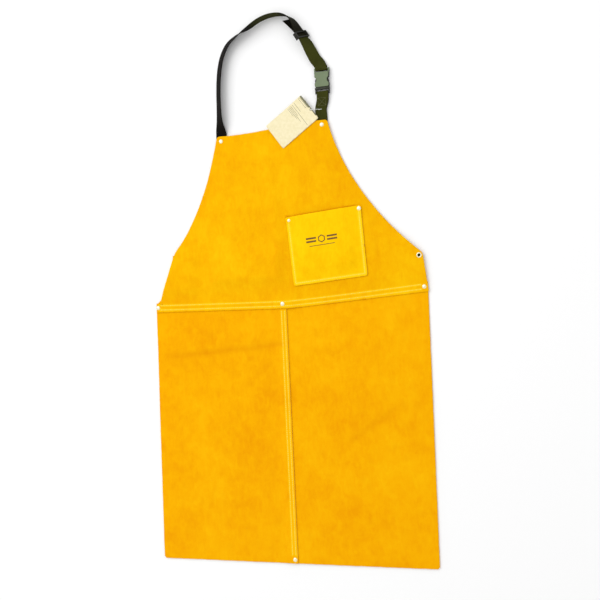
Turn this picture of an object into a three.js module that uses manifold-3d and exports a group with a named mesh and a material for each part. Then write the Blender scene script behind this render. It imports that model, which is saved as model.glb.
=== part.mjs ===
// A split-leather welding apron, laid flat on its back with the neck loop closed.
// Millimetres. X runs across the apron, +Y from the hem to the neck, +Z up out of the front face,
// and z = 0 is the surface that it lies on. The leather is hand cut, so its two sides differ a little.

import * as THREE from "three";
import { mergeVertices } from "three/addons/utils/BufferGeometryUtils.js";
import Module from "manifold-3d";

const wasm = await Module();
wasm.setup();

// ---- driving dimensions -------------------------------------------------------------------------

const leather = 1.6; // thickness of every leather panel
const gap = 0.3; // air between neighbouring pieces that touch on the real apron

const hemWidth = 610; // width of the skirt at its hem
const waistWidth = 608; // width of the bib where it is sewn to the skirt
const waistShift = 3; // the bib sits this far to +X of the skirt
const seamHeight = 547.5; // hem to the middle of the waist seam
const seamRiseLeft = 3.5; // the seam's -X end lies this much higher than its middle
const seamRiseRight = 22; // and the +X end this much
const seamLap = 10; // the bib and the skirt overlap this far on either side of the seam line
const centreLap = 8; // the two skirt panels overlap this far on either side of the centre seam's line
const centreShift = -2; // the centre seam's line at the hem, from the middle of the hem
const centreLean = -4; // and how much further over it is at the waist

const bibHeight = 375; // middle of the waist seam to the neckline
const neckWidth = 251; // neckline from corner to corner
const neckShift = -16.5; // the neckline's middle from the centre line
const neckSlope = 6; // each end of the neckline is off level by this much
const hipHeightLeft = 116.5; // middle of the waist seam to the hip corner on the -X side
const hipHeightRight = 88.5; // and on the +X side
const hipInsetLeft = 46; // the -X hip corner is turned under, so its fold comes in this far
const hipInsetRight = 8.5; // the +X hip corner, from the end of the waist seam

const pocketWidth = 161;
const pocketFlare = 3.5; // its top is this much wider, on the +X side
const pocketHeight = 146;
const pocketTurn = 5; // degrees, sewn on slightly askew
const pocketX = 96; // middle of the pocket from the centre line
const pocketRise = 116; // middle of the pocket above the middle of the waist seam
const pocketGape = 5.2; // the empty pocket stands this far off the bib
const pocketHem = 11.5; // the sewn border that lies flat on the bib

const webWidth = 25; // width of all the webbing
const web = 1.5; // its thickness
const plyGap = 0.3; // between two plies of webbing sewn together

const rivetRadius = 4.5;
const rivetCrown = 1.5; // height of a rivet cap
const shankRadius = 1.5;
const eyeletRadius = 6.4;
const eyeletBore = 3.1;
const eyeletFlange = 0.9;
const eyeletWall = 0.6;

const threadRadius = 0.6; // the bead that stands for a row of stitches
const rowSpacing = 9.5; // between the two rows of the waist seam
const centreRowSpacing = 7; // between the two rows of the centre seam

const buckleMargin = 6; // a buckle is this much wider than its webbing
const buckleLength = 32; // the female half without its webbing bar
const buckleDepth = 8.6;
const buckleWall = 1.9;
const barRadius = 1.7;
const barSetback = 7; // from the end of a buckle half to the middle of its bar
const latchLength = 22;
const latchThickness = 2.6;
const guideWidth = 5;
const latchSet = 5; // the middle of a latch from the inside of the buckle's wall

const sliderLength = 15;
const sliderBar = 2.4;
const sliderMargin = 2.2; // clear width beside the webbing inside the slider, both sides together

const tagWidth = 63;
const tagLength = 99;
const tagTurn = 35.2; // degrees, the long side from +X
const card = 0.5;

// ---- levels above the surface, from the same values ---------------------------------------------

const skirtTop = leather;
const lapTop = 2 * leather + gap; // where one skirt panel lies on the other
const doublePly = 2 * web + plyGap;
const beltBase = 0.2; // webbing on the surface keeps this clear of it
const bibBase = Math.max(lapTop + gap, beltBase + doublePly + gap); // underside of the bib
const seamBase = skirtTop + gap; // underside of the bib beside the centre lap
const bibTop = bibBase + leather;
const barHeight = beltBase + web + barRadius + 0.45; // a buckle bar, with webbing wrapped round it
const wrapRadius = barRadius + 0.4 + web / 2; // middle of the webbing round a bar
const humpBase = buckleDepth + 2 * gap + 0.6; // underside of the bib over the belt's buckle

// ---- solids -------------------------------------------------------------------------------------

const toSolid = (geometry) => {
  const bare = geometry.index ? geometry.toNonIndexed() : geometry.clone();
  for (const key of Object.keys(bare.attributes)) {
    if (key !== "position") bare.deleteAttribute(key);
  }
  const merged = mergeVertices(bare, 1e-4);
  return new wasm.Manifold(
    new wasm.Mesh({
      numProp: 3,
      vertProperties: merged.attributes.position.array,
      triVerts: new Uint32Array(merged.index.array),
    }),
  );
};

const toGeometry = (solid) => {
  const mesh = solid.getMesh();
  const geometry = new THREE.BufferGeometry();
  geometry.setAttribute("position", new THREE.BufferAttribute(new Float32Array(mesh.vertProperties), 3));
  geometry.setIndex(new THREE.BufferAttribute(new Uint32Array(mesh.triVerts), 1));
  return geometry.toNonIndexed();
};

const at = (geometry, x, y, z) => geometry.translate(x, y, z);

// A flat outline given thickness, from z = low to z = high.
const prism = (shape, low, high, curveSegments = 10) =>
  at(new THREE.ExtrudeGeometry(shape, { depth: high - low, bevelEnabled: false, curveSegments }), 0, 0, low);

const box = (x0, x1, y0, y1, z0, z1) =>
  at(new THREE.BoxGeometry(x1 - x0, y1 - y0, z1 - z0), (x0 + x1) / 2, (y0 + y1) / 2, (z0 + z1) / 2);

// An upright cylinder from z = low to z = high.
const post = (x, y, radius, low, high, sides = 16) =>
  at(
    new THREE.CylinderGeometry(radius, radius, high - low, sides).rotateX(Math.PI / 2),
    x, y, (low + high) / 2,
  );

const polygon = (points) => new THREE.Shape(points.map(([x, y]) => new THREE.Vector2(x, y)));

const roundedRectangle = (width, height, radius) => {
  const [w, h] = [width / 2, height / 2];
  const shape = new THREE.Shape();
  shape.moveTo(-w + radius, -h);
  shape.lineTo(w - radius, -h);
  shape.absarc(w - radius, -h + radius, radius, -Math.PI / 2, 0);
  shape.lineTo(w, h - radius);
  shape.absarc(w - radius, h - radius, radius, 0, Math.PI / 2);
  shape.lineTo(-w + radius, h);
  shape.absarc(-w + radius, h - radius, radius, Math.PI / 2, Math.PI);
  shape.lineTo(-w, -h + radius);
  shape.absarc(-w + radius, -h + radius, radius, Math.PI, 1.5 * Math.PI);
  return shape;
};

// Quads between rings of equal length, closed at both ends when the rings are open strips of a sweep.
const loft = (rings) => {
  const positions = [];
  const triangle = (a, b, c) => positions.push(...a, ...b, ...c);
  const size = rings[0].length;
  for (let i = 0; i + 1 < rings.length; i++) {
    for (let k = 0; k < size; k++) {
      const [a, b] = [rings[i][k], rings[i][(k + 1) % size]];
      const [c, d] = [rings[i + 1][(k + 1) % size], rings[i + 1][k]];
      triangle(a, b, c);
      triangle(a, c, d);
    }
  }
  const cap = (ring, flip) => {
    for (let k = 1; k + 1 < size; k++) {
      if (flip) triangle(ring[0], ring[k + 1], ring[k]);
      else triangle(ring[0], ring[k], ring[k + 1]);
    }
  };
  cap(rings[0], true);
  cap(rings[rings.length - 1], false);
  const geometry = new THREE.BufferGeometry();
  geometry.setAttribute("position", new THREE.Float32BufferAttribute(positions, 3));
  return geometry;
};

// A sheet of leather over a grid of folds: its underside follows height(x, y).
const foldedSheet = (xs, ys, height, thickness) => {
  const positions = [];
  const quad = (a, b, c, d) => positions.push(...a, ...b, ...c, ...a, ...c, ...d);
  const low = (i, j) => [xs[i], ys[j], height(xs[i], ys[j])];
  const high = (i, j) => [xs[i], ys[j], height(xs[i], ys[j]) + thickness];
  const [m, n] = [xs.length - 1, ys.length - 1];
  for (let i = 0; i < m; i++) {
    for (let j = 0; j < n; j++) {
      quad(high(i, j), high(i + 1, j), high(i + 1, j + 1), high(i, j + 1));
      quad(low(i, j), low(i, j + 1), low(i + 1, j + 1), low(i + 1, j));
    }
    quad(low(i, 0), low(i + 1, 0), high(i + 1, 0), high(i, 0));
    quad(low(i + 1, n), low(i, n), high(i, n), high(i + 1, n));
  }
  for (let j = 0; j < n; j++) {
    quad(low(0, j + 1), low(0, j), high(0, j), high(0, j + 1));
    quad(low(m, j), low(m, j + 1), high(m, j + 1), high(m, j));
  }
  const geometry = new THREE.BufferGeometry();
  geometry.setAttribute("position", new THREE.Float32BufferAttribute(positions, 3));
  return geometry;
};

// Webbing swept through stations that each give its middle, its width direction and its face direction.
const ribbon = (stations) =>
  loft(
    stations.map(({ middle, across, face }) =>
      [[-1, -1], [-1, 1], [1, 1], [1, -1]].map(([side, ply]) =>
        middle
          .clone()
          .addScaledVector(across, (side * webWidth) / 2)
          .addScaledVector(face, (ply * web) / 2)
          .toArray(),
      ),
    ),
  );

// A bead of thread through points, with a diamond section.
const bead = (points, radius = threadRadius) => {
  const route = new THREE.CatmullRomCurve3(points.map((p) => new THREE.Vector3(...p)));
  const section = polygon([[radius, 0], [0, radius], [-radius, 0], [0, -radius]]);
  return new THREE.ExtrudeGeometry(section, {
    steps: points.length * 2, extrudePath: route, bevelEnabled: false,
  });
};

// ---- materials ----------------------------------------------------------------------------------

const finish = (color, roughness, metalness = 0) =>
  new THREE.MeshStandardMaterial({ color, roughness, metalness });
const suede = finish(0xfbb60f, 0.95);
const thread = finish(0xffdf55, 0.7);
const nickel = finish(0xe8e0c0, 0.3, 1);
const webbing = finish(0x24260f, 0.85);
const plastic = finish(0x3c4232, 0.35);
const paper = finish(0xf7ecc1, 0.8);
const filament = finish(0xf2f2ea, 0.4);

const apron = new THREE.Group();
const add = (name, shape, material, parent = apron) => {
  const mesh = new THREE.Mesh(shape instanceof wasm.Manifold ? toGeometry(shape) : shape, material);
  mesh.name = name;
  parent.add(mesh);
  return mesh;
};

// ---- lines that the pieces share ----------------------------------------------------------------

const waistLeft = waistShift - waistWidth / 2;
const waistRight = waistShift + waistWidth / 2;

// The waist seam: two nearly straight runs that dip to the middle.
const seamY = (x) => {
  const [end, rise] = x < 0 ? [waistLeft, seamRiseLeft] : [waistRight, seamRiseRight];
  return seamHeight + rise * Math.min(1, x / end) ** 1.15;
};

// The middle of the centre seam, which runs a little askew.
const centreX = (y) => centreShift + (centreLean * y) / seamHeight;

const steps = (from, to, count) =>
  Array.from({ length: count + 1 }, (_, i) => from + ((to - from) * i) / count);

const neckY = seamHeight + bibHeight;
const neckLeft = new THREE.Vector2(neckShift - neckWidth / 2, neckY - neckSlope);
const neckRight = new THREE.Vector2(neckShift + neckWidth / 2, neckY + neckSlope);
const hipLeft = new THREE.Vector2(waistLeft + hipInsetLeft, seamHeight + hipHeightLeft);
const hipRight = new THREE.Vector2(waistRight - hipInsetRight, seamHeight + hipHeightRight);

// The armhole curves start almost straight down from the neck and swing out to the hip.
const armholeRun = 0.36; // share of the drop that each handle takes
const armhole = (neck, hip, topLean, hipLean) => {
  const drop = neck.y - hip.y;
  const topHandle = new THREE.Vector2(neck.x + topLean * drop, neck.y - armholeRun * drop);
  const hipHandle = new THREE.Vector2(hip.x - hipLean * drop, hip.y + armholeRun * 0.83 * drop);
  return [topHandle, hipHandle];
};

const bibOutline = () => {
  const shape = new THREE.Shape();
  const corner = 7; // the neck corners are cut round
  const [leftTop, leftHip] = armhole(neckLeft, hipLeft, -0.08, -0.24);
  const [rightTop, rightHip] = armhole(neckRight, hipRight, 0.085, 0.345);
  shape.moveTo(waistLeft, seamY(waistLeft) - seamLap);
  for (const x of steps(waistLeft, waistRight, 16).slice(1)) shape.lineTo(x, seamY(x) - seamLap);
  shape.lineTo(hipRight.x, hipRight.y - 4);
  shape.quadraticCurveTo(hipRight.x, hipRight.y, hipRight.x - 4, hipRight.y + 5);
  shape.bezierCurveTo(rightHip.x, rightHip.y, rightTop.x, rightTop.y, neckRight.x + 1, neckRight.y - corner);
  shape.quadraticCurveTo(neckRight.x, neckRight.y, neckRight.x - corner, neckRight.y);
  shape.bezierCurveTo(
    neckRight.x - neckWidth * 0.35,
    neckRight.y + 2,
    neckLeft.x + neckWidth * 0.3,
    neckLeft.y - 5,
    neckLeft.x + corner,
    neckLeft.y,
  );
  shape.quadraticCurveTo(neckLeft.x, neckLeft.y, neckLeft.x - 1, neckLeft.y - corner);
  shape.bezierCurveTo(leftTop.x, leftTop.y, leftHip.x, leftHip.y, hipLeft.x, hipLeft.y);
  return shape;
};

// ---- fasteners ----------------------------------------------------------------------------------

// A rivet is a domed cap with its shank, and a washer let into the back of the lowest ply.
const rivets = [];
const washerDepth = 0.6;
const rivet = (name, x, y, top, back) => rivets.push({ name, x, y, top, back });

const rivetCap = ({ x, y, top, back }) => {
  const profile = [
    [0, back + 0.1],
    [shankRadius, back + 0.1],
    [shankRadius, top + 0.1],
    [rivetRadius, top + 0.1],
    [rivetRadius, top + 0.5],
    [rivetRadius * 0.8, top + rivetCrown * 0.8],
    [rivetRadius * 0.4, top + rivetCrown],
    [0, top + rivetCrown + 0.1],
  ];
  return at(latheZ(profile, 20), x, y, 0);
};

const rivetWasher = ({ x, y, back }) => {
  const profile = [
    [shankRadius + 0.3, back],
    [rivetRadius, back],
    [rivetRadius, back + washerDepth],
    [shankRadius + 0.3, back + washerDepth],
    [shankRadius + 0.3, back],
  ];
  return at(latheZ(profile, 20), x, y, 0);
};

// A lathe about Z from [radius, height] pairs.
const latheZ = (profile, sides) =>
  new THREE.LatheGeometry(
    profile.map(([r, h]) => new THREE.Vector2(r, h)),
    sides,
  ).rotateX(Math.PI / 2);

// Cuts a rivet's hole, and the seat for its washer where this piece is the lowest ply.
const cutForRivets = (solid, names, lowestPly) => {
  for (const { name, x, y, top, back } of rivets) {
    if (!names.includes(name)) continue;
    solid = solid.subtract(toSolid(post(x, y, shankRadius + gap, back - 5, top + 5)));
    if (lowestPly) {
      solid = solid.subtract(toSolid(post(x, y, rivetRadius + gap, back - 5, back + washerDepth + 0.2, 20)));
    }
  }
  return solid;
};

const waistRivetInset = 9; // a waist rivet's middle from the end of the seam
const washerSeat = 0.05; // a washer lies this far inside the back of its ply
rivet("waist_rivet_left", waistLeft + 3, seamY(waistLeft), seamBase + leather, washerSeat);
rivet("waist_rivet_centre", centreX(seamHeight), seamHeight, bibTop, washerSeat);
rivet("waist_rivet_right", waistRight - waistRivetInset, seamY(waistRight), seamBase + leather, washerSeat);
rivet("hem_rivet", -0.5, 8, lapTop, washerSeat);

const neckInset = { left: [9.5, 11], right: [12.5, 9.5] }; // a neck rivet from its corner, across and down
const neckRivetLeft = [neckLeft.x + neckInset.left[0], neckLeft.y - neckInset.left[1]];
const neckRivetRight = [neckRight.x - neckInset.right[0], neckRight.y - neckInset.right[1]];
rivet("neck_rivet_left", ...neckRivetLeft, bibTop, beltBase + washerSeat);
rivet("neck_rivet_right", ...neckRivetRight, bibTop, beltBase + washerSeat);

// ---- skirt --------------------------------------------------------------------------------------

const hemLeft = -hemWidth / 2;
const hemRight = hemWidth / 2;
const skirtCorner = 4;

const makeSkirtLeft = () => {
  const shape = new THREE.Shape();
  shape.moveTo(hemLeft + skirtCorner, 0);
  shape.lineTo(centreX(0) + centreLap, 0);
  const top = centreX(seamHeight + seamLap) + centreLap;
  for (const x of steps(top, waistLeft - 1.5, 8)) shape.lineTo(x, seamY(Math.max(x, waistLeft)) + seamLap);
  shape.lineTo(hemLeft, skirtCorner);
  const joggle = 10; // the lapping panel climbs on to the other over this width
  const xs = [hemLeft - 20, -centreLap - joggle, -centreLap - 1, centreLap + 20];
  const ys = [-20, seamHeight + seamRiseRight + 60];
  const skew = new THREE.Matrix4().makeShear(0, 0, centreLean / seamHeight, 0, 0, 0);
  skew.setPosition(centreShift, 0, 0);
  const straight = foldedSheet(xs, ys, (x) => (x > -centreLap - 2 ? skirtTop + gap : 0), leather);
  const sheet = toSolid(straight.applyMatrix4(skew));
  const cut = sheet.intersect(toSolid(prism(shape, -5, 20)));
  const held = cutForRivets(cut, ["waist_rivet_left"], true);
  add("skirt_panel_left", cutForRivets(held, ["waist_rivet_centre", "hem_rivet"], false), suede);
};

const makeSkirtRight = () => {
  const shape = new THREE.Shape();
  shape.moveTo(centreX(0) - centreLap, 0);
  shape.lineTo(hemRight - skirtCorner, 0);
  shape.lineTo(hemRight, skirtCorner);
  const top = centreX(seamHeight + seamLap) - centreLap;
  for (const x of steps(waistRight - 1.5, top, 8)) shape.lineTo(x, seamY(x) + seamLap);
  const sheet = toSolid(prism(shape, 0, leather));
  const names = ["waist_rivet_centre", "waist_rivet_right", "hem_rivet"];
  add("skirt_panel_right", cutForRivets(sheet, names, true), suede);
};

// ---- waist belt route ---------------------------------------------------------------------------

// The belt runs behind the bib from hip to hip, and its buckle lies clear of the pocket.
const beltY = seamHeight + 79;
const beltMouthX = -36; // where the two halves of the belt buckle meet
const eyeletRight = [hipRight.x - 8, beltY + 7];
const flapBase = eyeletFlange + 0.15; // underside of the turned-under hip
const flapTop = flapBase + leather;
const flapWebBase = flapTop + gap; // the belt's end lies on the flap
const hipBase = flapWebBase + doublePly + gap; // underside of the bib over it

// Points on the turned-under hip, by their run down the fold and their depth in from it.
const foldFoot = new THREE.Vector2(waistLeft, seamY(waistLeft) - seamLap);
const foldAlong = foldFoot.clone().sub(hipLeft).normalize();
const foldInward = new THREE.Vector2(-foldAlong.y, foldAlong.x);
const onFlap = (run, depth) =>
  hipLeft.clone().addScaledVector(foldAlong, run).addScaledVector(foldInward, depth);
const eyeletLeft = onFlap(37, 20).toArray();
const beltFoot = eyeletLeft[0] - 9; // the folded end of the belt on the flap

// ---- bib ----------------------------------------------------------------------------------------

const humpFrom = beltMouthX - buckleLength - 84; // the bib rises over the buckle and the slider
const humpTo = beltMouthX + 17;
const humpHalf = webWidth / 2 + 9;
const humpSlope = 26;
const lapFlat = centreLap + 11; // the bib clears the skirts' lap this far from the centre line
const lapSlope = 11;
const seamEdge = seamHeight + seamRiseRight + seamLap; // top of the band that lies on the skirt
const flapEdge = beltFoot + 44; // the raised part of the bib over the flap ends here

const bibHeightAt = (x, y) => {
  const tolerance = 0.01;
  if (y < seamEdge + tolerance) return Math.abs(x) < lapFlat + tolerance ? bibBase : seamBase;
  const alongBuckle = x > humpFrom - tolerance && x < humpTo + tolerance;
  if (alongBuckle && Math.abs(y - beltY) < humpHalf + tolerance) return humpBase;
  return x < flapEdge + tolerance && y < hipLeft.y + 10 + tolerance ? hipBase : bibBase;
};

const makeBib = () => {
  const xs = [waistLeft - 40, flapEdge, flapEdge + 16];
  xs.push(humpFrom - humpSlope, humpFrom, humpTo, humpTo + humpSlope);
  xs.push(-lapFlat - lapSlope, -lapFlat, lapFlat, lapFlat + lapSlope, waistRight + 40);
  const ys = [seamHeight - 60, seamEdge, seamEdge + 8, beltY - humpHalf, beltY + humpHalf];
  ys.push(hipLeft.y + 10, hipLeft.y + 26, neckY + 40);
  const folds = [...new Set(xs)].sort((a, b) => a - b);
  const sheet = toSolid(foldedSheet(folds, ys, bibHeightAt, leather));
  const panel = sheet.intersect(toSolid(prism(bibOutline(), -5, 40, 14)));
  const eyeletHole = eyeletBore + eyeletWall + gap;
  const drilled = panel
    .add(makeHipFold())
    .subtract(toSolid(post(...eyeletRight, eyeletHole, 0, 40)))
    .subtract(toSolid(post(...eyeletLeft, eyeletHole, -1, flapTop + gap / 2)));
  const seamRivets = ["waist_rivet_left", "waist_rivet_centre", "waist_rivet_right"];
  const held = cutForRivets(drilled, [...seamRivets, "neck_rivet_left", "neck_rivet_right"], false);
  add("bib_panel", cutForRivets(held, ["pocket_rivet_left", "pocket_rivet_right"], true), suede);
};

// The -X hip corner turned under: a flap below the bib, joined along the fold.
const makeHipFold = () => {
  const lowest = seamHeight + seamRiseLeft + seamLap + 6; // the flap stops above the skirt
  const reach = (hipLeft.y - lowest) / -foldAlong.y;
  const outline = (...points) => new THREE.Shape(points.map(([run, depth]) => onFlap(run, depth)));
  const flap = outline([3, 0.2], [8, 30], [reach * 0.5, 36], [reach, 10], [reach, 0.2]);
  const spine = outline([3, 0.2], [3, leather + 0.2], [reach, leather + 0.2], [reach, 0.2]);
  const tall = toSolid(prism(spine, flapBase, hipBase + leather / 2));
  const low = toSolid(prism(spine, flapBase, seamBase + leather / 2));
  const above = toSolid(box(-2000, 2000, seamEdge + 8, 2000, -5, 50));
  return toSolid(prism(flap, flapBase, flapTop)).add(tall.intersect(above)).add(low);
};

// ---- pocket -------------------------------------------------------------------------------------

const pocketFrame = new THREE.Matrix4()
  .makeTranslation(pocketX, seamHeight + pocketRise, 0)
  .multiply(new THREE.Matrix4().makeRotationZ(THREE.MathUtils.degToRad(pocketTurn)));
const inPocket = (u, v) => new THREE.Vector3(u, v, 0).applyMatrix4(pocketFrame).toArray().slice(0, 2);
const pocketRivetDown = 6; // a pocket rivet's middle below the pocket's top edge
const pocketRivetX = { left: 6 - pocketWidth / 2, right: pocketWidth / 2 + pocketFlare - 4 };
const pocketBase = bibTop + gap;

for (const [label, u] of Object.entries(pocketRivetX)) {
  const place = inPocket(u, pocketHeight / 2 - pocketRivetDown);
  rivet("pocket_rivet_" + label, ...place, pocketBase + leather, bibBase + washerSeat);
}

// The pocket's outline has round corners, and its +X side leans out to the top.
const pocketOutline = () => {
  const [w, h, r] = [pocketWidth / 2, pocketHeight / 2, 5];
  const shape = new THREE.Shape();
  shape.moveTo(-w + r, -h);
  shape.lineTo(w - r, -h);
  shape.quadraticCurveTo(w, -h, w, -h + r);
  shape.lineTo(w + pocketFlare, h - 2);
  shape.lineTo(w + pocketFlare - 2, h);
  shape.lineTo(-w + r, h);
  shape.quadraticCurveTo(-w, h, -w, h - r);
  shape.lineTo(-w, -h + r);
  shape.quadraticCurveTo(-w, -h, -w + r, -h);
  return shape;
};

const makePocket = () => {
  const [w, h] = [pocketWidth / 2, pocketHeight / 2];
  const rise = 22; // the sewn border lifts to the full gape over this width
  const us = [-w - 5, -w + pocketHem, -w + pocketHem + rise, w - pocketHem - rise, w - pocketHem, w + 10];
  const vs = [-h - 5, -h + pocketHem, -h + pocketHem + rise, h + 5];
  const lifted = (u, v) => Math.abs(u) < w - pocketHem - rise + 1 && v > -h + pocketHem + rise - 1;
  const sheet = foldedSheet(us, vs, (u, v) => pocketBase + (lifted(u, v) ? pocketGape : 0), leather);
  const cut = toSolid(sheet).intersect(toSolid(prism(pocketOutline(), 0, 40)));
  const placed = toSolid(toGeometry(cut).applyMatrix4(pocketFrame));
  add("chest_pocket", cutForRivets(placed, ["pocket_rivet_left", "pocket_rivet_right"], false), suede);
};

// ---- stitching ----------------------------------------------------------------------------------

const beadLift = threadRadius + 0.15; // a bead clears the leather under it

const makeSeamRows = () => {
  for (const [offset, label] of [[rowSpacing / 2, "upper"], [-rowSpacing / 2, "lower"]]) {
    const level = (x) => (Math.abs(x) < centreLap + 22 ? bibTop : seamBase + leather) + beadLift;
    const points = steps(waistLeft + 9, waistRight - 15, 22).map((x) => [x, seamY(x) + offset, level(x)]);
    add("waist_stitches_" + label, bead(points), thread);
  }
  for (const [offset, label] of [[-centreRowSpacing / 2, "left"], [centreRowSpacing / 2, "right"]]) {
    const rows = steps(18, seamHeight - seamLap - 3, 6);
    const points = rows.map((y) => [centreX(y) + offset, y, lapTop + beadLift]);
    add("centre_stitches_" + label, bead(points), thread);
  }
};

const makePocketRow = () => {
  const inset = 5;
  const [w, h] = [pocketWidth / 2 - inset, pocketHeight / 2 - inset];
  const z = pocketBase + leather + beadLift;
  const corner = 4;
  const run = [
    [-w, h - 8], [-w, 0], [-w, -h + corner], [-w + corner, -h], [0, -h], [w - corner, -h], [w, -h + corner],
    [w + pocketFlare / 2, 0], [w + pocketFlare, h - 9],
  ];
  add("pocket_stitches", bead(run.map(([u, v]) => [...inPocket(u, v), z])), thread);
};

// ---- webbing ------------------------------------------------------------------------------------

// Stations along points [x, y, roll, lift]. roll is how far the webbing's inner edge is turned up, in
// degrees, with its outer edge on the surface; lift raises the whole station.
const webStationsAt = (points, ts) => {
  const plan = new THREE.CatmullRomCurve3(points.map(([x, y, roll]) => new THREE.Vector3(x, y, roll)));
  const lifts = new THREE.CatmullRomCurve3(points.map(([, , , lift], i) => new THREE.Vector3(i, lift, 0)));
  return ts.map((t) => {
    const { x, y, z: roll } = plan.getPoint(t);
    const heading = plan.getTangent(t).setZ(0).normalize();
    const inner = new THREE.Vector3(heading.y, -heading.x, 0);
    const angle = THREE.MathUtils.degToRad(roll);
    const across = inner.clone().multiplyScalar(Math.cos(angle)).setZ(Math.sin(angle));
    const face = inner.clone().multiplyScalar(-Math.sin(angle)).setZ(Math.cos(angle));
    const rise = (webWidth / 2) * Math.sin(angle) + (web / 2) * Math.cos(angle) + lifts.getPoint(t).y;
    return { middle: new THREE.Vector3(x, y, beltBase + rise), across, face };
  });
};

const webStations = (points, count) => webStationsAt(points, steps(0, 1, count));

// The webbing's turn round a buckle bar that lies along `across`, from above the bar to below it.
const barTurn = (centre, across, outward) =>
  steps(90, -90, 8).map((degrees) => {
    const angle = THREE.MathUtils.degToRad(degrees);
    const face = outward.clone().multiplyScalar(Math.cos(angle)).setZ(Math.sin(angle));
    return { middle: centre.clone().addScaledVector(face, wrapRadius), across, face };
  });

const turned = (stations) =>
  stations.map(({ middle, across, face }) => ({ middle, across, face: face.clone().negate() }));

const buckleX = neckRivetRight[0] + 4.5; // the neck buckle's centre line
const mouthY = neckY + 74.8; // where the two halves of the neck buckle meet
const femaleBarY = mouthY + buckleLength + barSetback - 1;
const maleBarY = mouthY - 5 - barSetback + 1;
const topLift = barHeight + wrapRadius - beltBase - web / 2; // top ply at a bar
const lowLift = barHeight - wrapRadius - beltBase - web / 2; // bottom ply at a bar
const plyRise = web + plyGap; // from the bottom ply's middle to the top ply's

// The neck strap: riveted behind the left corner, round the neck on its edge, through the slider to the
// buckle bar, and back through the slider to a free end.
const neckTop = neckY + 238; // the loop's furthest point
const loopLeft = neckRivetLeft[0];
const neckRun = [
  [loopLeft, neckRivetLeft[1] - 9, 0, 0],
  [loopLeft + 0.5, neckLeft.y + 4, 2, 0],
  [loopLeft + 1, neckLeft.y + 28, 42, 0],
  [loopLeft + 1, neckLeft.y + 54, 72, 0],
  [loopLeft + 1.5, neckLeft.y + 84, 82, 0],
  [loopLeft + 4, neckLeft.y + 120, 83, 0],
  [loopLeft + 6, neckLeft.y + 148, 83, 0],
  [loopLeft + 12, neckLeft.y + 172, 82, 0],
  [loopLeft + 25, neckLeft.y + 195, 81, 0],
  [loopLeft + 45, neckTop - 34, 81, 0],
  [loopLeft + 74, neckTop - 19, 84, 0],
  [loopLeft + 99, neckTop - 6, 88, 0],
  [loopLeft + 122, neckTop, 90, 0],
  [loopLeft + 144, neckTop + 0.5, 90, 0],
  [loopLeft + 161, neckTop - 4, 86, 0.5],
  [loopLeft + 174, neckTop - 14.5, 76, 2],
];
const pairRun = [
  [loopLeft + 205.5, neckTop - 70, 40, 2.6],
  [loopLeft + 212.5, neckTop - 84.5, 28, 1.2],
  [loopLeft + 221, neckTop - 103, 17, 0.3],
  [buckleX - 3, femaleBarY + 14, 7, 0],
];
const tailRun = [
  [loopLeft + 161.5, neckTop - 14, 62, 0],
  [loopLeft + 177, neckTop - 29.5, 59, 2.2],
];

// The webbing runs straight through the slider, at one roll and one height.
const sliderRoll = 54;
const sliderLift = 4.8; // the slider's rail, outside the webbing, just clears the surface
const sliderHeading = THREE.MathUtils.degToRad(-58.5);
const throughSlider = [-10, 0, 10].map((run) => [
  loopLeft + 194.7 + run * Math.cos(sliderHeading),
  neckTop - 51.8 + run * Math.sin(sliderHeading),
  sliderRoll,
  sliderLift,
]);

// A station moved out from the webbing's face.
const offFace = ({ middle, across, face }, distance) => ({
  middle: middle.clone().addScaledVector(face, distance),
  across,
  face,
});

const makeNeckStrap = () => {
  const bar = new THREE.Vector3(buckleX, femaleBarY, barHeight);
  const atBar = [buckleX, femaleBarY, 0];
  const firstPair = neckRun.length;
  const upper = [...neckRun, ...throughSlider, ...pairRun, [...atBar, topLift - plyRise]];
  const lower = [...tailRun, ...throughSlider, ...pairRun, [...atBar, lowLift]];
  const count = 92;
  const climb = (i) => {
    const past = (i / count) * (upper.length - 1) - firstPair + 2; // the top ply parts from the tail
    return plyRise * Math.min(1, Math.max(0, past) / 2);
  };
  const out = webStations(upper, count).map((station, i) => offFace(station, climb(i)));
  const back = webStations(lower, 34);
  const turn = barTurn(bar, new THREE.Vector3(-1, 0, 0), new THREE.Vector3(0, -1, 0));
  const strap = toSolid(ribbon([...out.slice(0, -1), ...turn, ...turned(back.slice(0, -1)).reverse()]));
  add("neck_strap", cutForRivets(strap, ["neck_rivet_left"], true), webbing);
};

const makeNeckAnchor = () => {
  const foot = [neckRivetRight[0], neckRivetRight[1] - 9, 0];
  const route = [foot, [foot[0] - 0.5, neckRight.y + 8, 0], [foot[0] - 1, neckRight.y + 24, 0]];
  const high = [...route, [buckleX - 1, maleBarY - 16, 0], [buckleX, maleBarY, 0]];
  const rise = [plyRise, plyRise, plyRise + 0.4, plyRise + 2.4, topLift];
  const top = webStations(high.map((p, i) => [...p, rise[i]]), 18).slice(0, -1);
  const low = webStations(high.map((p, i) => [...p, i === 4 ? lowLift : 0]), 18).slice(0, -1);
  const turn = barTurn(
    new THREE.Vector3(buckleX, maleBarY, barHeight),
    new THREE.Vector3(1, 0, 0),
    new THREE.Vector3(0, 1, 0),
  );
  const strap = toSolid(ribbon([...top, ...turn, ...turned(low).reverse()]));
  add("neck_anchor_strap", cutForRivets(strap, ["neck_rivet_right"], true), webbing);
  const tackY = maleBarY - 13;
  const tackTop = barHeight + wrapRadius + web / 2 - 0.6;
  add("neck_anchor_tack", box(buckleX - 11, buckleX + 8, tackY, tackY + 2.4, tackTop, tackTop + 0.8), thread);
};

// ---- side-release buckle ------------------------------------------------------------------------

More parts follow.
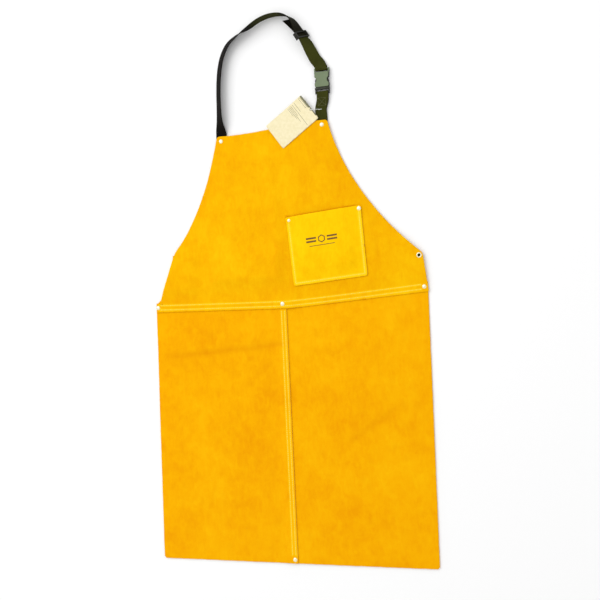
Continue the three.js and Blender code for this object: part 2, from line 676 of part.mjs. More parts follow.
// Both buckles are made about their own mouth: the female half towards +Y, the male half towards -Y.
const buckleWidth = webWidth + buckleMargin;
const buckleInside = (buckleWidth - 2 * buckleWall) / 2;
const channelLow = buckleWall;
const channelHigh = buckleDepth - buckleWall;
const latchMiddle = buckleDepth / 2;
const windowY = 15; // middle of the side windows, from the mouth
const windowRadius = 7.2;
const windowSet = 3; // its middle lies this far outside the half
const railHalf = 1.15; // half the width of the rails that carry a bar
const hookOut = buckleInside + 1.3; // a latch hooks out past the channel's wall

const makeBuckle = (name, parts) => {
  const w = buckleWidth / 2;
  const barY = buckleLength + barSetback - 1;
  const shell = new THREE.ExtrudeGeometry(roundedRectangle(buckleWidth - 1.6, buckleLength - 1.6, 3), {
    depth: buckleDepth - 1.6,
    bevelEnabled: true, bevelSize: 0.8, bevelThickness: 0.8, bevelSegments: 2,
    curveSegments: 5,
  });
  let female = toSolid(at(shell, 0, buckleLength / 2 + gap, 0.8));
  const channel = box(-buckleInside, buckleInside, -1, buckleLength - 4, channelLow, channelHigh);
  female = female.subtract(toSolid(channel));
  for (const side of [-1, 1]) {
    const window = post(side * (w + windowSet), windowY, windowRadius, -1, buckleDepth + 1, 24);
    female = female.subtract(toSolid(window));
    const ear = box(-railHalf, railHalf, buckleLength - 3, barY + 2.4, barHeight - 2, barHeight + 2);
    female = female.add(toSolid(at(ear, side * (w - railHalf + 0.8), 0, 0)));
  }
  const bar = new THREE.CylinderGeometry(barRadius, barRadius, buckleWidth, 12).rotateZ(Math.PI / 2);
  const femaleBar = toSolid(at(bar.clone(), 0, barY, barHeight));
  add(name + "_female", female.add(femaleBar), plastic, parts);

  const baseLength = 5;
  const maleBar = -baseLength - barSetback + 1;
  let male = toSolid(box(-w, w, -baseLength, 0, 1, buckleDepth - 1));
  const guide = box(
    -guideWidth / 2, guideWidth / 2, -1, buckleLength - 6, latchMiddle - 1.5, latchMiddle + 1.5,
  );
  male = male.add(toSolid(guide));
  for (const side of [-1, 1]) {
    const rail = box(-railHalf, railHalf, maleBar - 2.4, -1, barHeight - 2, barHeight + 2);
    male = male.add(toSolid(at(rail, side * (w - railHalf), 0, 0)));
    const pin = post(side * latchX, latchPivotY, latchPin, 0.9, buckleDepth - 0.9, 12);
    const slot = post(
      side * latchX, latchPivotY, latchThickness / 2 + 0.9, channelLow - 0.3, channelHigh + 0.3, 16,
    );
    const relief = box(
      side * latchX - 3.2, side * latchX + 3.2, latchPivotY, 1, channelLow - 0.3, channelHigh + 0.3,
    );
    male = male.subtract(toSolid(slot)).subtract(toSolid(relief)).add(toSolid(pin));
    add(name + "_latch_" + (side < 0 ? "left" : "right"), makeLatch(side), plastic, parts);
  }
  const maleBarSolid = toSolid(at(bar.clone(), 0, maleBar, barHeight));
  add(name + "_male", male.add(maleBarSolid), plastic, parts);
};

// A latch arm: a springy prong that turns about its root and hooks out into the side window.
const latchX = buckleInside - latchSet;
const latchPivotY = -2.2;
const latchPin = 0.7;
// From the window's middle to the channel's wall; the hook sits just inside the window.
const wallReach = buckleWidth / 2 + windowSet - buckleInside;
const hookY = windowY - Math.sqrt(windowRadius ** 2 - wallReach ** 2) + 0.6;
const makeLatch = (side) => {
  const t = latchThickness / 2;
  const shape = polygon([
    [latchX - t, latchPivotY],
    [latchX + t, latchPivotY],
    [latchX + t, windowY - 7],
    [hookOut - 1.2, hookY],
    [hookOut, hookY + 0.6],
    [hookOut, windowY],
    [latchX + t + 0.8, latchLength - 1],
    [latchX, latchLength],
    [latchX - t, latchLength - 2],
  ]);
  const low = channelLow + 0.35;
  const high = channelHigh - 0.35;
  let arm = toSolid(prism(shape, low, high));
  arm = arm.add(toSolid(post(latchX, latchPivotY, t, low, high, 16)));
  arm = arm.subtract(toSolid(post(latchX, latchPivotY, latchPin + 0.25, 0, buckleDepth, 12)));
  return side > 0 ? arm : arm.mirror([1, 0, 0]);
};

// ---- slider -------------------------------------------------------------------------------------

// A three-bar slider about its own middle, the webbing running along Y between z = 0 and z = stack:
// its middle bar passes below the webbing and its end bars above.
const sliderStack = doublePly + 2 * gap;
const makeSlider = () => {
  const inside = (webWidth + sliderMargin) / 2;
  const outside = inside + sliderBar;
  const low = -sliderBar - gap;
  const high = sliderStack + sliderBar;
  let slider = toSolid(box(-outside, outside, -sliderBar / 2, sliderBar / 2, low, -gap));
  for (const side of [-1, 1]) {
    const rail = box(inside, outside, -sliderLength / 2, sliderLength / 2, low, high);
    slider = slider.add(toSolid(side > 0 ? rail : at(rail, -inside - outside, 0, 0)));
    const y = side * (sliderLength / 2 - sliderBar / 2);
    const end = box(-outside, outside, y - sliderBar / 2, y + sliderBar / 2, sliderStack, high);
    slider = slider.add(toSolid(end));
  }
  return slider;
};

// ---- waist belt ---------------------------------------------------------------------------------

const sliderX = beltMouthX - buckleLength - 36; // middle of the belt slider
const beltFemaleBar = beltMouthX - buckleLength - barSetback + 1;
const beltMaleBar = beltMouthX + 5 + barSetback - 1;
const hemLength = 26; // webbing folded under at a belt's end
const foldRadius = plyRise / 2; // middle of the webbing round its own fold
const beltLow = beltBase + web / 2; // middle of webbing that lies on the surface
const sliderLow = beltLow + sliderBar + gap + 0.2; // middle of the lower ply in the belt slider

// Points [x, z] round a bar or a fold, from its top (90) to its underside (-90) or back, on the side
// that `outward` gives.
const roundBar = (x, z, radius, outward, from = 90, to = -90) =>
  steps(from, to, 8).map((degrees) => {
    const angle = THREE.MathUtils.degToRad(degrees);
    return [x + outward * radius * Math.cos(angle), z + radius * Math.sin(angle)];
  });

// Webbing that lies flat along X and follows [x, z] points of its own middle.
const flatWebbing = (points, y) =>
  ribbon(
    points.map(([x, z], i) => {
      const [before, after] = [points[Math.max(0, i - 1)], points[Math.min(points.length - 1, i + 1)]];
      const along = new THREE.Vector3(after[0] - before[0], 0, after[1] - before[1]).normalize();
      const across = new THREE.Vector3(0, -1, 0);
      return { middle: new THREE.Vector3(x, y, z), across, face: new THREE.Vector3(-along.z, 0, along.x) };
    }),
  );

const makeBeltRight = () => {
  const end = hipRight.x - 7;
  const points = [
    [beltMaleBar + 30, beltLow], [beltMaleBar + 12, beltLow],
    ...roundBar(beltMaleBar, barHeight, wrapRadius, -1, -90, 90),
    [beltMaleBar + 18, beltLow + plyRise + 0.8], [beltMaleBar + 30, beltLow + plyRise],
    [beltMaleBar + 46, beltLow],
    [end - hemLength - 14, beltLow], [end - hemLength + 2, beltLow + plyRise],
    ...roundBar(end, beltLow + foldRadius, foldRadius, 1),
    [end - hemLength + 4, beltLow],
  ];
  const topPly = post(...eyeletRight, eyeletBore + eyeletWall + gap, beltLow + foldRadius, 10);
  add("belt_strap_right", toSolid(flatWebbing(points, beltY)).subtract(toSolid(topPly)), webbing);
};

const makeBeltLeft = () => {
  const flapLow = flapWebBase + web / 2;
  const points = [
    [beltFoot + hemLength, flapLow],
    ...roundBar(beltFoot, flapLow + foldRadius, foldRadius, -1, -90, 90),
    [beltFoot + hemLength + 2, flapLow + plyRise], [beltFoot + hemLength + 16, flapLow],
    [beltFoot + hemLength + 30, beltLow], [sliderX - 40, beltLow], [sliderX - 18, sliderLow + plyRise],
    [sliderX + 16, sliderLow + plyRise], [beltFemaleBar - 8, barHeight + wrapRadius],
    ...roundBar(beltFemaleBar, barHeight, wrapRadius, 1),
    [beltFemaleBar - 8, barHeight - wrapRadius + 0.3], [sliderX + 16, sliderLow], [sliderX - 18, sliderLow],
    [sliderX - 26, sliderLow - 1.4],
  ];
  const lowPly = post(...eyeletLeft, eyeletBore + eyeletWall + gap, 0, flapLow + foldRadius);
  add("belt_strap_left", toSolid(flatWebbing(points, beltY)).subtract(toSolid(lowPly)), webbing);
};

// ---- eyelets ------------------------------------------------------------------------------------

// An eyelet faces up from z = face, its barrel reaching down by `depth`.
const eyeletGeometry = (depth) =>
  latheZ(
    [
      [eyeletBore, -depth], [eyeletBore + eyeletWall, -depth], [eyeletBore + eyeletWall, 0],
      [eyeletRadius, 0],
      [eyeletRadius, eyeletFlange * 0.4], [eyeletRadius - 1, eyeletFlange], [eyeletBore + 1, eyeletFlange],
      [eyeletBore, eyeletFlange * 0.4], [eyeletBore, -depth],
    ],
    28,
  );

const makeEyelets = () => {
  const clear = 0.08; // between the flange and the leather
  const depthRight = bibTop + clear - (beltBase + web + plyGap + 0.1);
  add("hip_eyelet_right", at(eyeletGeometry(depthRight), ...eyeletRight, bibTop + clear), nickel);
  const depthLeft = flapWebBase + web - 0.1 - (flapBase - clear);
  const facingDown = eyeletGeometry(depthLeft).rotateX(Math.PI);
  add("hip_eyelet_left", at(facingDown, ...eyeletLeft, flapBase - clear), nickel);
};

// ---- hang tag -----------------------------------------------------------------------------------

const tagX = neckRight.x - 77;
const tagY = neckRight.y + 2;
const tagBase = bibTop + 1.2;
const tagHole = [tagLength / 2 - 3, -6.5]; // along and across the card, from its middle
const tagHoleRadius = 1.8;
const tieRadius = 0.45;
const tagFrame = new THREE.Matrix4()
  .makeTranslation(tagX, tagY, 0)
  .multiply(new THREE.Matrix4().makeRotationZ(THREE.MathUtils.degToRad(tagTurn)));

const makeTag = () => {
  const blank = toSolid(prism(roundedRectangle(tagLength, tagWidth, 3), tagBase, tagBase + card, 4));
  const punched = blank.subtract(toSolid(post(...tagHole, tagHoleRadius, 0, 20)));
  add("hang_tag", toGeometry(punched).applyMatrix4(tagFrame), paper);
};

// The tie: a filament through the card with a paddle under it and a bar on the webbing.
const makeTie = () => {
  const hole = new THREE.Vector3(...tagHole, 0).applyMatrix4(tagFrame);
  const barX = buckleX - 7;
  const barZ = beltBase + plyRise + 0.5 + web + tieRadius + 0.3;
  const high = tagBase + card + 1.6;
  const route = [
    [hole.x, hole.y, tagBase - 0.7], [hole.x, hole.y, tagBase + card + 0.6], [hole.x + 3, hole.y, high],
    [(hole.x + barX) / 2 + 2, hole.y - 0.4, high + 0.2], [barX - 2, hole.y - 0.9, high - 0.9],
    [barX, hole.y - 1, barZ],
  ];
  const paddle = box(hole.x - 2.6, hole.x + 2.6, hole.y - 0.6, hole.y + 0.6, tagBase - 1.1, tagBase - 0.3);
  const bar = box(barX - 0.5, barX + 0.5, hole.y - 4, hole.y + 3, barZ - 0.4, barZ + 0.4);
  const tie = toSolid(bead(route, tieRadius)).add(toSolid(paddle)).add(toSolid(bar));
  add("tag_tie", tie, filament);
};

// ---- assembly -----------------------------------------------------------------------------------

makeSkirtLeft();
makeSkirtRight();
makeBib();
makePocket();
makeSeamRows();
makePocketRow();
makeNeckStrap();
makeNeckAnchor();
makeBeltRight();
makeBeltLeft();
makeEyelets();
makeTag();
makeTie();

for (const r of rivets) {
  add(r.name + "_cap", rivetCap(r), nickel);
  add(r.name + "_washer", rivetWasher(r), nickel);
}

const neckBuckle = new THREE.Group();
neckBuckle.position.set(buckleX, mouthY, 0);
makeBuckle("neck_buckle", neckBuckle);
apron.add(neckBuckle);

const beltBuckle = new THREE.Group(); // its female half towards -X
beltBuckle.position.set(beltMouthX, beltY, 0);
beltBuckle.rotation.z = Math.PI / 2;
makeBuckle("belt_buckle", beltBuckle);
apron.add(beltBuckle);

const beltSlider = new THREE.Group();
beltSlider.position.set(sliderX, beltY, sliderLow - web / 2 - gap);
beltSlider.rotation.z = -Math.PI / 2;
add("belt_slider", makeSlider(), plastic, beltSlider);
apron.add(beltSlider);

// The neck slider takes its turn and height from the webbing inside it.
const [seat] = webStationsAt(throughSlider, [0.5]);
const heading = new THREE.Vector3().crossVectors(seat.face, seat.across);
const neckSlider = new THREE.Group();
neckSlider.quaternion.setFromRotationMatrix(new THREE.Matrix4().makeBasis(seat.across, heading, seat.face));
neckSlider.position.copy(seat.middle).addScaledVector(seat.face, -web / 2 - gap);
add("neck_slider", makeSlider(), plastic, neckSlider);
apron.add(neckSlider);

const box3 = new THREE.Box3().setFromObject(apron);
const middle = box3.getCenter(new THREE.Vector3());
apron.position.set(-middle.x, -middle.y, 0);

const part = new THREE.Group();
part.add(apron);
export default part;
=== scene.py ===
import math
import bmesh
import bpy
from mathutils import Matrix, Vector, kdtree, noise
from mathutils.bvhtree import BVHTree
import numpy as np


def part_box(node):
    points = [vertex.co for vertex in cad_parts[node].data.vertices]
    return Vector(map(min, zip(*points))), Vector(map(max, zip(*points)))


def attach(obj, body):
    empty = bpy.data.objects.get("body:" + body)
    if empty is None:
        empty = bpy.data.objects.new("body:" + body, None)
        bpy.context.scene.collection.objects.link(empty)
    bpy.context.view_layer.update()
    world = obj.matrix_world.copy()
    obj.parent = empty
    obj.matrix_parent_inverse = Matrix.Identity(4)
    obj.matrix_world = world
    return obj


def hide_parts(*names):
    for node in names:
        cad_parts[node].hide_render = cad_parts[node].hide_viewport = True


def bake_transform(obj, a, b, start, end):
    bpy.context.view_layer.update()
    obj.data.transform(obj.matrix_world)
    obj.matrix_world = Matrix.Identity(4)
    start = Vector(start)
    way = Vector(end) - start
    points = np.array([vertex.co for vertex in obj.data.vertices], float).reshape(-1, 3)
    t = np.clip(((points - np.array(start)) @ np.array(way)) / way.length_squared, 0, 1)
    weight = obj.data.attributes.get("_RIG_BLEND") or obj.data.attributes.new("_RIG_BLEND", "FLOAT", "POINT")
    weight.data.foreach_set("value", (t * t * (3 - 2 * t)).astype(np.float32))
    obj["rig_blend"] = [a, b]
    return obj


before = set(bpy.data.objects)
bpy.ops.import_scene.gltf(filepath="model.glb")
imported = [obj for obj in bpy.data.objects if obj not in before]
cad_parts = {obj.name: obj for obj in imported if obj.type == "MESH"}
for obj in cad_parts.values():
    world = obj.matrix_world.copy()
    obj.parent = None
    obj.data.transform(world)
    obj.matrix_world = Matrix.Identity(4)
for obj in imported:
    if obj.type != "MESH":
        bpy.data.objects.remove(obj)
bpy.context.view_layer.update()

mm = 0.001


def centreOf(node):
    low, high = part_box(node)
    return (low + high) / 2


def smoothStep(start, end, value):
    t = min(1.0, max(0.0, (value - start) / (end - start)))
    return t * t * (3 - 2 * t)


def tableAt(table, value):  # between pairs of place and amount
    for (a0, b0), (a1, b1) in zip(table, table[1:]):
        if value <= a1:
            return b0 + (b1 - b0) * smoothStep(a0, a1, value)
    return table[-1][1]


# Camera, lights and floor

studio = {
    "cameraPlace": (0.6525, -0.0722, 1.9069),
    "cameraLooks": (-0.3100, 0.0225, -0.9505),
    "cameraUp": (0.0450, 0.9989, 0.0090),
    "lens": 57.0,
    "floorSize": 8.0,
    "floorDrop": 0.3 * mm,
    "skyStrength": 0.88,
    "keyPower": 42.0,
    "keyPlace": (-1.6, 1.5, 2.3),
    "keySize": 2.6,
}


def makeCamera():
    data = bpy.data.cameras.new("camera")
    data.lens = studio["lens"]
    data.sensor_width = 36.0
    camera = bpy.data.objects.new("camera", data)
    back = -Vector(studio["cameraLooks"]).normalized()
    right = Vector(studio["cameraUp"]).cross(back).normalized()
    turn = Matrix((right, back.cross(right), back)).transposed()
    camera.matrix_world = Matrix.Translation(studio["cameraPlace"]) @ turn.to_4x4()
    bpy.context.scene.collection.objects.link(camera)
    bpy.context.scene.camera = camera


def makeLights():
    world = bpy.data.worlds.new("studio")
    world.use_nodes = True
    world.node_tree.nodes["Background"].inputs["Color"].default_value = (1, 1, 1, 1)
    world.node_tree.nodes["Background"].inputs["Strength"].default_value = studio["skyStrength"]
    bpy.context.scene.world = world
    bpy.context.scene.view_settings.view_transform = "Standard"
    data = bpy.data.lights.new("key", "AREA")
    data.energy = studio["keyPower"]
    data.size = studio["keySize"]
    light = bpy.data.objects.new("key", data)
    light.location = studio["keyPlace"]
    light.rotation_euler = (-Vector(studio["keyPlace"])).to_track_quat("-Z", "Y").to_euler()
    bpy.context.scene.collection.objects.link(light)


def makeFloor():
    bm = bmesh.new()
    bmesh.ops.create_grid(bm, x_segments=1, y_segments=1, size=studio["floorSize"] / 2)
    bmesh.ops.translate(bm, verts=bm.verts, vec=(0, 0, -studio["floorDrop"]))
    mesh = bpy.data.meshes.new("floor")
    bm.to_mesh(mesh)
    bm.free()
    paint = bpy.data.materials.new("palePaint")
    paint.use_nodes = True
    shader = paint.node_tree.nodes["Principled BSDF"]
    shader.inputs["Base Color"].default_value = (0.93, 0.93, 0.93, 1)
    shader.inputs["Roughness"].default_value = 0.9
    mesh.materials.append(paint)
    floor = bpy.data.objects.new("floor", mesh)
    bpy.context.scene.collection.objects.link(floor)


makeCamera()
makeLights()
makeFloor()
print("studio ready")


# Shader building blocks

def addNode(tree, kind, inputs=None, **settings):
    made = tree.nodes.new("ShaderNode" + kind)
    for name, value in settings.items():
        setattr(made, name, value)
    for key, value in (inputs or {}).items():
        if isinstance(value, bpy.types.NodeSocket):
            tree.links.new(value, made.inputs[key])
        else:
            made.inputs[key].default_value = value
    return made


def maths(tree, operation, a, b=0.0):
    return addNode(tree, "Math", {0: a, 1: b}, operation=operation).outputs[0]


def ranged(tree, value, low, high, toLow=0.0, toHigh=1.0, kind="SMOOTHSTEP"):
    inputs = {"Value": value, "From Min": low, "From Max": high, "To Min": toLow, "To Max": toHigh}
    return addNode(tree, "MapRange", inputs, interpolation_type=kind).outputs[0]


def mixed(tree, factor, a, b):
    return addNode(tree, "Mix", {0: factor, 6: a, 7: b}, data_type="RGBA").outputs[2]


def noiseAt(tree, vector, size, detail=3.0, roughness=0.55, distortion=0.0):
    inputs = {"Vector": vector, "Scale": 1 / size, "Detail": detail, "Roughness": roughness}
    return addNode(tree, "TexNoise", {**inputs, "Distortion": distortion}).outputs[0]


def tint(tree, shader, factor, low, high):
    tree.links.new(mixed(tree, factor, (*low, 1), (*high, 1)), shader.inputs["Base Color"])


def roughen(tree, shader, tone, low, high):
    tree.links.new(ranged(tree, tone, 0.0, 1.0, low, high), shader.inputs["Roughness"])


def attribute(tree, name, output="Fac"):
    return addNode(tree, "Attribute", attribute_name=name).outputs[output]


def newGroup(name, inputs, outputs):
    tree = bpy.data.node_groups.new(name, "ShaderNodeTree")
    for label, kind in inputs.items():
        tree.interface.new_socket(name=label, in_out="INPUT", socket_type="NodeSocket" + kind)
    for label, kind in outputs.items():
        tree.interface.new_socket(name=label, in_out="OUTPUT", socket_type="NodeSocket" + kind)
    return tree, tree.nodes.new("NodeGroupInput").outputs, tree.nodes.new("NodeGroupOutput").inputs


def useGroup(tree, group, inputs):
    made = tree.nodes.new("ShaderNodeGroup")
    made.node_tree = group
    for key, value in inputs.items():
        if isinstance(value, bpy.types.NodeSocket):
            tree.links.new(value, made.inputs[key])
        else:
            made.inputs[key].default_value = value
    return made.outputs


def makeNapGroup():  # the brushed nap of split leather: hide-sized clouds, then mottling, then fibres
    tree, given, out = newGroup("suedeNap", {"Vector": "Vector"}, {"Tone": "Float", "Height": "Float"})
    at = given["Vector"]
    hide = noiseAt(tree, at, 0.16, 2.0, 0.5, 0.3)
    cloud = noiseAt(tree, at, 0.030, 5.0, 0.62, 0.5)
    brushed = {"Vector": at, "Rotation": (0, 0, 0.5), "Scale": (1.0, 0.32, 1.0)}
    drawn = addNode(tree, "Mapping", brushed).outputs[0]
    strokes = noiseAt(tree, drawn, 0.0065, 4.0, 0.65, 0.8)
    fibre = noiseAt(tree, at, 0.0014, 3.0, 0.7, 0.6)
    tone = maths(tree, "ADD", maths(tree, "MULTIPLY", hide, 0.34), maths(tree, "MULTIPLY", cloud, 0.30))
    tone = maths(tree, "ADD", tone, maths(tree, "MULTIPLY", strokes, 0.24))
    tone = maths(tree, "ADD", tone, maths(tree, "MULTIPLY", fibre, 0.12))
    tree.links.new(ranged(tree, tone, 0.36, 0.64, kind="LINEAR"), out["Tone"])
    height = maths(tree, "ADD", maths(tree, "MULTIPLY", strokes, 0.55), maths(tree, "MULTIPLY", fibre, 0.45))
    tree.links.new(height, out["Height"])
    return tree


def makeWeaveGroup():  # two-up two-down webbing: Vector is across, along and side, in metres
    tree, given, out = newGroup("webbingWeave", {"Vector": "Vector"}, {"Tone": "Float", "Height": "Float"})
    parts = addNode(tree, "SeparateXYZ", {0: given["Vector"]}).outputs
    column = maths(tree, "DIVIDE", parts[0], 1.56 * mm)
    step = maths(tree, "MULTIPLY", maths(tree, "FLOOR", column), 0.5)
    course = maths(tree, "ADD", maths(tree, "DIVIDE", parts[1], 2.6 * mm), step)
    rib = maths(tree, "ABSOLUTE", maths(tree, "SINE", maths(tree, "MULTIPLY", column, math.pi)))
    pick = maths(tree, "ABSOLUTE", maths(tree, "SINE", maths(tree, "MULTIPLY", course, math.pi)))
    yarn = maths(tree, "MULTIPLY", maths(tree, "POWER", rib, 0.6), maths(tree, "POWER", pick, 0.5))
    fuzz = noiseAt(tree, given["Vector"], 0.0009, 2.0, 0.6)
    tree.links.new(maths(tree, "ADD", yarn, maths(tree, "MULTIPLY", fuzz, 0.3)), out["Height"])
    fadeAndLight = noiseAt(tree, given["Vector"], 0.05, 3.0, 0.6)
    tree.links.new(maths(tree, "MULTIPLY", yarn, ranged(tree, fadeAndLight, 0.3, 0.7, 0.6, 1.0)), out["Tone"])
    return tree


def makeGrainGroup():  # a fine even grain, for moulded plastic, plated metal, thread and card
    inputs = {"Vector": "Vector", "Size": "Float"}
    tree, given, out = newGroup("fineGrain", inputs, {"Tone": "Float", "Height": "Float"})
    at = given["Vector"]
    rate = maths(tree, "DIVIDE", 1.0, given["Size"])
    coarseRate = maths(tree, "MULTIPLY", rate, 0.12)
    fine = addNode(tree, "TexNoise", {"Vector": at, "Scale": rate, "Detail": 2.0}).outputs[0]
    coarse = addNode(tree, "TexNoise", {"Vector": at, "Scale": coarseRate}).outputs[0]
    tree.links.new(ranged(tree, coarse, 0.3, 0.7), out["Tone"])
    tree.links.new(fine, out["Height"])
    return tree


def makePrintGroup():  # a printed oblong on the card, 1 inside it
    sizes = {"Left": "Float", "Right": "Float", "Bottom": "Float", "Top": "Float"}
    tree, given, out = newGroup("printedOblong", {"Vector": "Vector", **sizes}, {"Mask": "Float"})
    parts = addNode(tree, "SeparateXYZ", {0: given["Vector"]}).outputs
    spans = []
    for part, low, high in ((parts[0], "Left", "Right"), (parts[1], "Bottom", "Top")):
        above = maths(tree, "GREATER_THAN", part, given[low])
        below = maths(tree, "LESS_THAN", part, given[high])
        spans.append(maths(tree, "MULTIPLY", above, below))
    tree.links.new(maths(tree, "MULTIPLY", *spans), out["Mask"])
    return tree


suedeNap = makeNapGroup()
webbingWeave = makeWeaveGroup()
fineGrain = makeGrainGroup()
printedOblong = makePrintGroup()


def newMaterial(name, **values):
    made = bpy.data.materials.new(name)
    made.use_nodes = True
    shader = made.node_tree.nodes["Principled BSDF"]
    for key, value in values.items():
        shader.inputs[key].default_value = value
    return made, made.node_tree, shader


def bump(tree, shader, height, distance, strength=1.0):
    made = addNode(tree, "Bump", {"Height": height, "Distance": distance, "Strength": strength})
    tree.links.new(made.outputs["Normal"], shader.inputs["Normal"])


def objectCoordinates(tree):
    return addNode(tree, "TexCoord").outputs["Object"]


def grainOf(tree, size):
    return useGroup(tree, fineGrain, {"Vector": objectCoordinates(tree), "Size": size})


def makeSuede(name, deep, body, light, stitchBand):
    sheen = {"Sheen Weight": 0.16, "Sheen Roughness": 0.45, "Sheen Tint": (1.0, 0.70, 0.03, 1)}
    gloss = {"Specular IOR Level": 0.08, "Specular Tint": (1.0, 0.72, 0.08, 1)}
    made, tree, shader = newMaterial(name, **sheen, **gloss)
    nap = useGroup(tree, suedeNap, {"Vector": objectCoordinates(tree)})
    lower = mixed(tree, ranged(tree, nap["Tone"], 0.0, 0.5, kind="LINEAR"), (*deep, 1), (*body, 1))
    upper = mixed(tree, ranged(tree, nap["Tone"], 0.5, 1.0, kind="LINEAR"), lower, (*light, 1))
    # the colour turns lighter in a band along the stitch rows
    flat = mixed(tree, attribute(tree, "stitchBand"), upper, (*stitchBand, 1))
    # painted shade: the crease mask darkens the suede towards a deeper brown in hollows, grooves and the
    # pocket's mouth
    shaded = mixed(tree, attribute(tree, "creaseShade"), flat, (deep[0] * 0.82, deep[1] * 0.66, deep[2], 1))
    tree.links.new(shaded, shader.inputs["Base Color"])
    roughen(tree, shader, nap["Tone"], 0.98, 0.86)
    bump(tree, shader, nap["Height"], 0.5 * mm, 0.55)
    return made


def makeCutEdge():  # the raw middle of the hide, where it was cut
    made, tree, shader = newMaterial("cutEdge", Roughness=0.95, **{"Specular IOR Level": 0.1})
    at = objectCoordinates(tree)
    tone = ranged(tree, noiseAt(tree, at, 0.004, 4.0, 0.7), 0.35, 0.65)
    tint(tree, shader, tone, (0.36, 0.20, 0.04), (0.62, 0.38, 0.08))
    bump(tree, shader, noiseAt(tree, at, 0.0006, 3.0, 0.7), 0.3 * mm, 0.7)
    return made


def makeThread(name, low, high, roughness, twist=0.0):
    made, tree, shader = newMaterial(name, Roughness=roughness)
    grain = grainOf(tree, 0.5 * mm)
    tint(tree, shader, grain["Tone"], low, high)
    if twist:
        bump(tree, shader, grain["Height"], 0.12 * mm, twist)
    return made


def makeNickel():
    made, tree, shader = newMaterial("nickelPlate", Metallic=0.85, Roughness=0.3)
    grain = grainOf(tree, 0.35 * mm)
    tint(tree, shader, grain["Tone"], (0.86, 0.80, 0.52), (0.98, 0.96, 0.74))
    roughen(tree, shader, grain["Tone"], 0.24, 0.4)
    bump(tree, shader, grain["Height"], 0.03 * mm, 0.5)
    return made


def makeWebbing():  # a nearly black strap with painted light and shade: its side toward the light painted dark olive, its shaded side nearly black
    made, tree, shader = newMaterial("oliveWebbing", Roughness=0.82, **{"Specular IOR Level": 0.1})
    weave = useGroup(tree, webbingWeave, {"Vector": attribute(tree, "weaveAt", "Vector")})
    face = mixed(tree, weave["Tone"], (0.016, 0.018, 0.002, 1), (0.062, 0.066, 0.007, 1))
    back = mixed(tree, weave["Tone"], (0.0014, 0.0007, 0.0003, 1), (0.0065, 0.0040, 0.0018, 1))
    tree.links.new(mixed(tree, attribute(tree, "litSide"), back, face), shader.inputs["Base Color"])
    roughen(tree, shader, weave["Tone"], 0.92, 0.72)
    bump(tree, shader, weave["Height"], 0.32 * mm, 0.8)
    return made


def makePlastic(name, low, high, roughness, glareColour=None):
    made, tree, shader = newMaterial(name, Roughness=roughness, **{"Specular IOR Level": 0.3})
    grain = grainOf(tree, 0.5 * mm)
    body = mixed(tree, grain["Tone"], (*low, 1), (*high, 1))
    # painted highlight: faces that look upward take a lighter colour, standing for the lamp's glare on their
    # tops
    upward = glareColour or [value * 1.6 for value in high]
    tree.links.new(mixed(tree, attribute(tree, "paintedGlare"), body, (*upward, 1)), shader.inputs["Base Color"])
    roughen(tree, shader, grain["Tone"], roughness - 0.06, roughness + 0.08)
    bump(tree, shader, grain["Height"], 0.05 * mm, 0.4)
    return made


def makeInk():
    made, tree, shader = newMaterial("brownInk", Roughness=0.8)
    rubbed = ranged(tree, noiseAt(tree, objectCoordinates(tree), 0.0016, 3.0, 0.7), 0.4, 0.7)
    tint(tree, shader, rubbed, (0.10, 0.045, 0.006), (0.30, 0.14, 0.008))
    return made


def makeFilament():
    made, tree, shader = newMaterial("clearFilament", Roughness=0.3, **{"Subsurface Weight": 0.1})
    tint(tree, shader, grainOf(tree, 0.4 * mm)["Tone"], (0.80, 0.80, 0.72), (0.93, 0.93, 0.88))
    return made


tagTurn = math.radians(35.2)  # the hang tag's long side from the apron's width
card = {  # printed oblongs on the card: left, right, bottom and top, from its middle
    "ink": (0.17, 0.165, 0.085, 1),
    "solid": [(45.4 * mm, 50 * mm, 0, 31 * mm), (47.6 * mm, 50 * mm, -24 * mm, 1 * mm)],
    "outline": [(40.4 * mm, 44.6 * mm, 4 * mm, 29 * mm)],
    "rules": [(27.4, 5, 29), (21.8, -27, 28), (17.6, 2, 28), (14.8, -12, 28), (12.0, -2, 28), (9.2, 8, 28)],
    "ruleWidth": 0.8 * mm, "outlineWidth": 0.6 * mm,
}


def makeCard():
    made, tree, shader = newMaterial("printedCard", Roughness=0.6)
    place = {"Location": centreOf("hang_tag"), "Rotation": (0, 0, tagTurn)}
    onCard = {"Vector": objectCoordinates(tree), **place}
    at = addNode(tree, "Mapping", onCard, vector_type="TEXTURE").outputs[0]

    def anyOf(masks):
        total = masks[0]
        for mask in masks[1:]:
            total = maths(tree, "MAXIMUM", total, mask)
        return total

    def oblong(left, right, bottom, top):
        values = {"Vector": at, "Left": left, "Right": right, "Bottom": bottom, "Top": top}
        return useGroup(tree, printedOblong, values)["Mask"]

    masks = [oblong(*edges) for edges in card["solid"]]
    line = card["outlineWidth"]
    for left, right, bottom, top in card["outline"]:
        inside = oblong(left + line, right - line, bottom + line, top - line)
        masks.append(maths(tree, "SUBTRACT", oblong(left, right, bottom, top), inside))
    rules = []
    for u, low, high in card["rules"]:
        rules.append(oblong(u * mm, u * mm + card["ruleWidth"], low * mm, high * mm))
    fibre = useGroup(tree, fineGrain, {"Vector": at, "Size": 0.8 * mm})
    paper = mixed(tree, fibre["Tone"], (0.80, 0.71, 0.43, 1), (0.86, 0.77, 0.50, 1))
    ruled = mixed(tree, maths(tree, "MULTIPLY", anyOf(rules), 0.85), paper, card["ink"])
    tree.links.new(mixed(tree, anyOf(masks), ruled, card["ink"]), shader.inputs["Base Color"])
    bump(tree, shader, fibre["Height"], 0.06 * mm, 0.5)
    return made


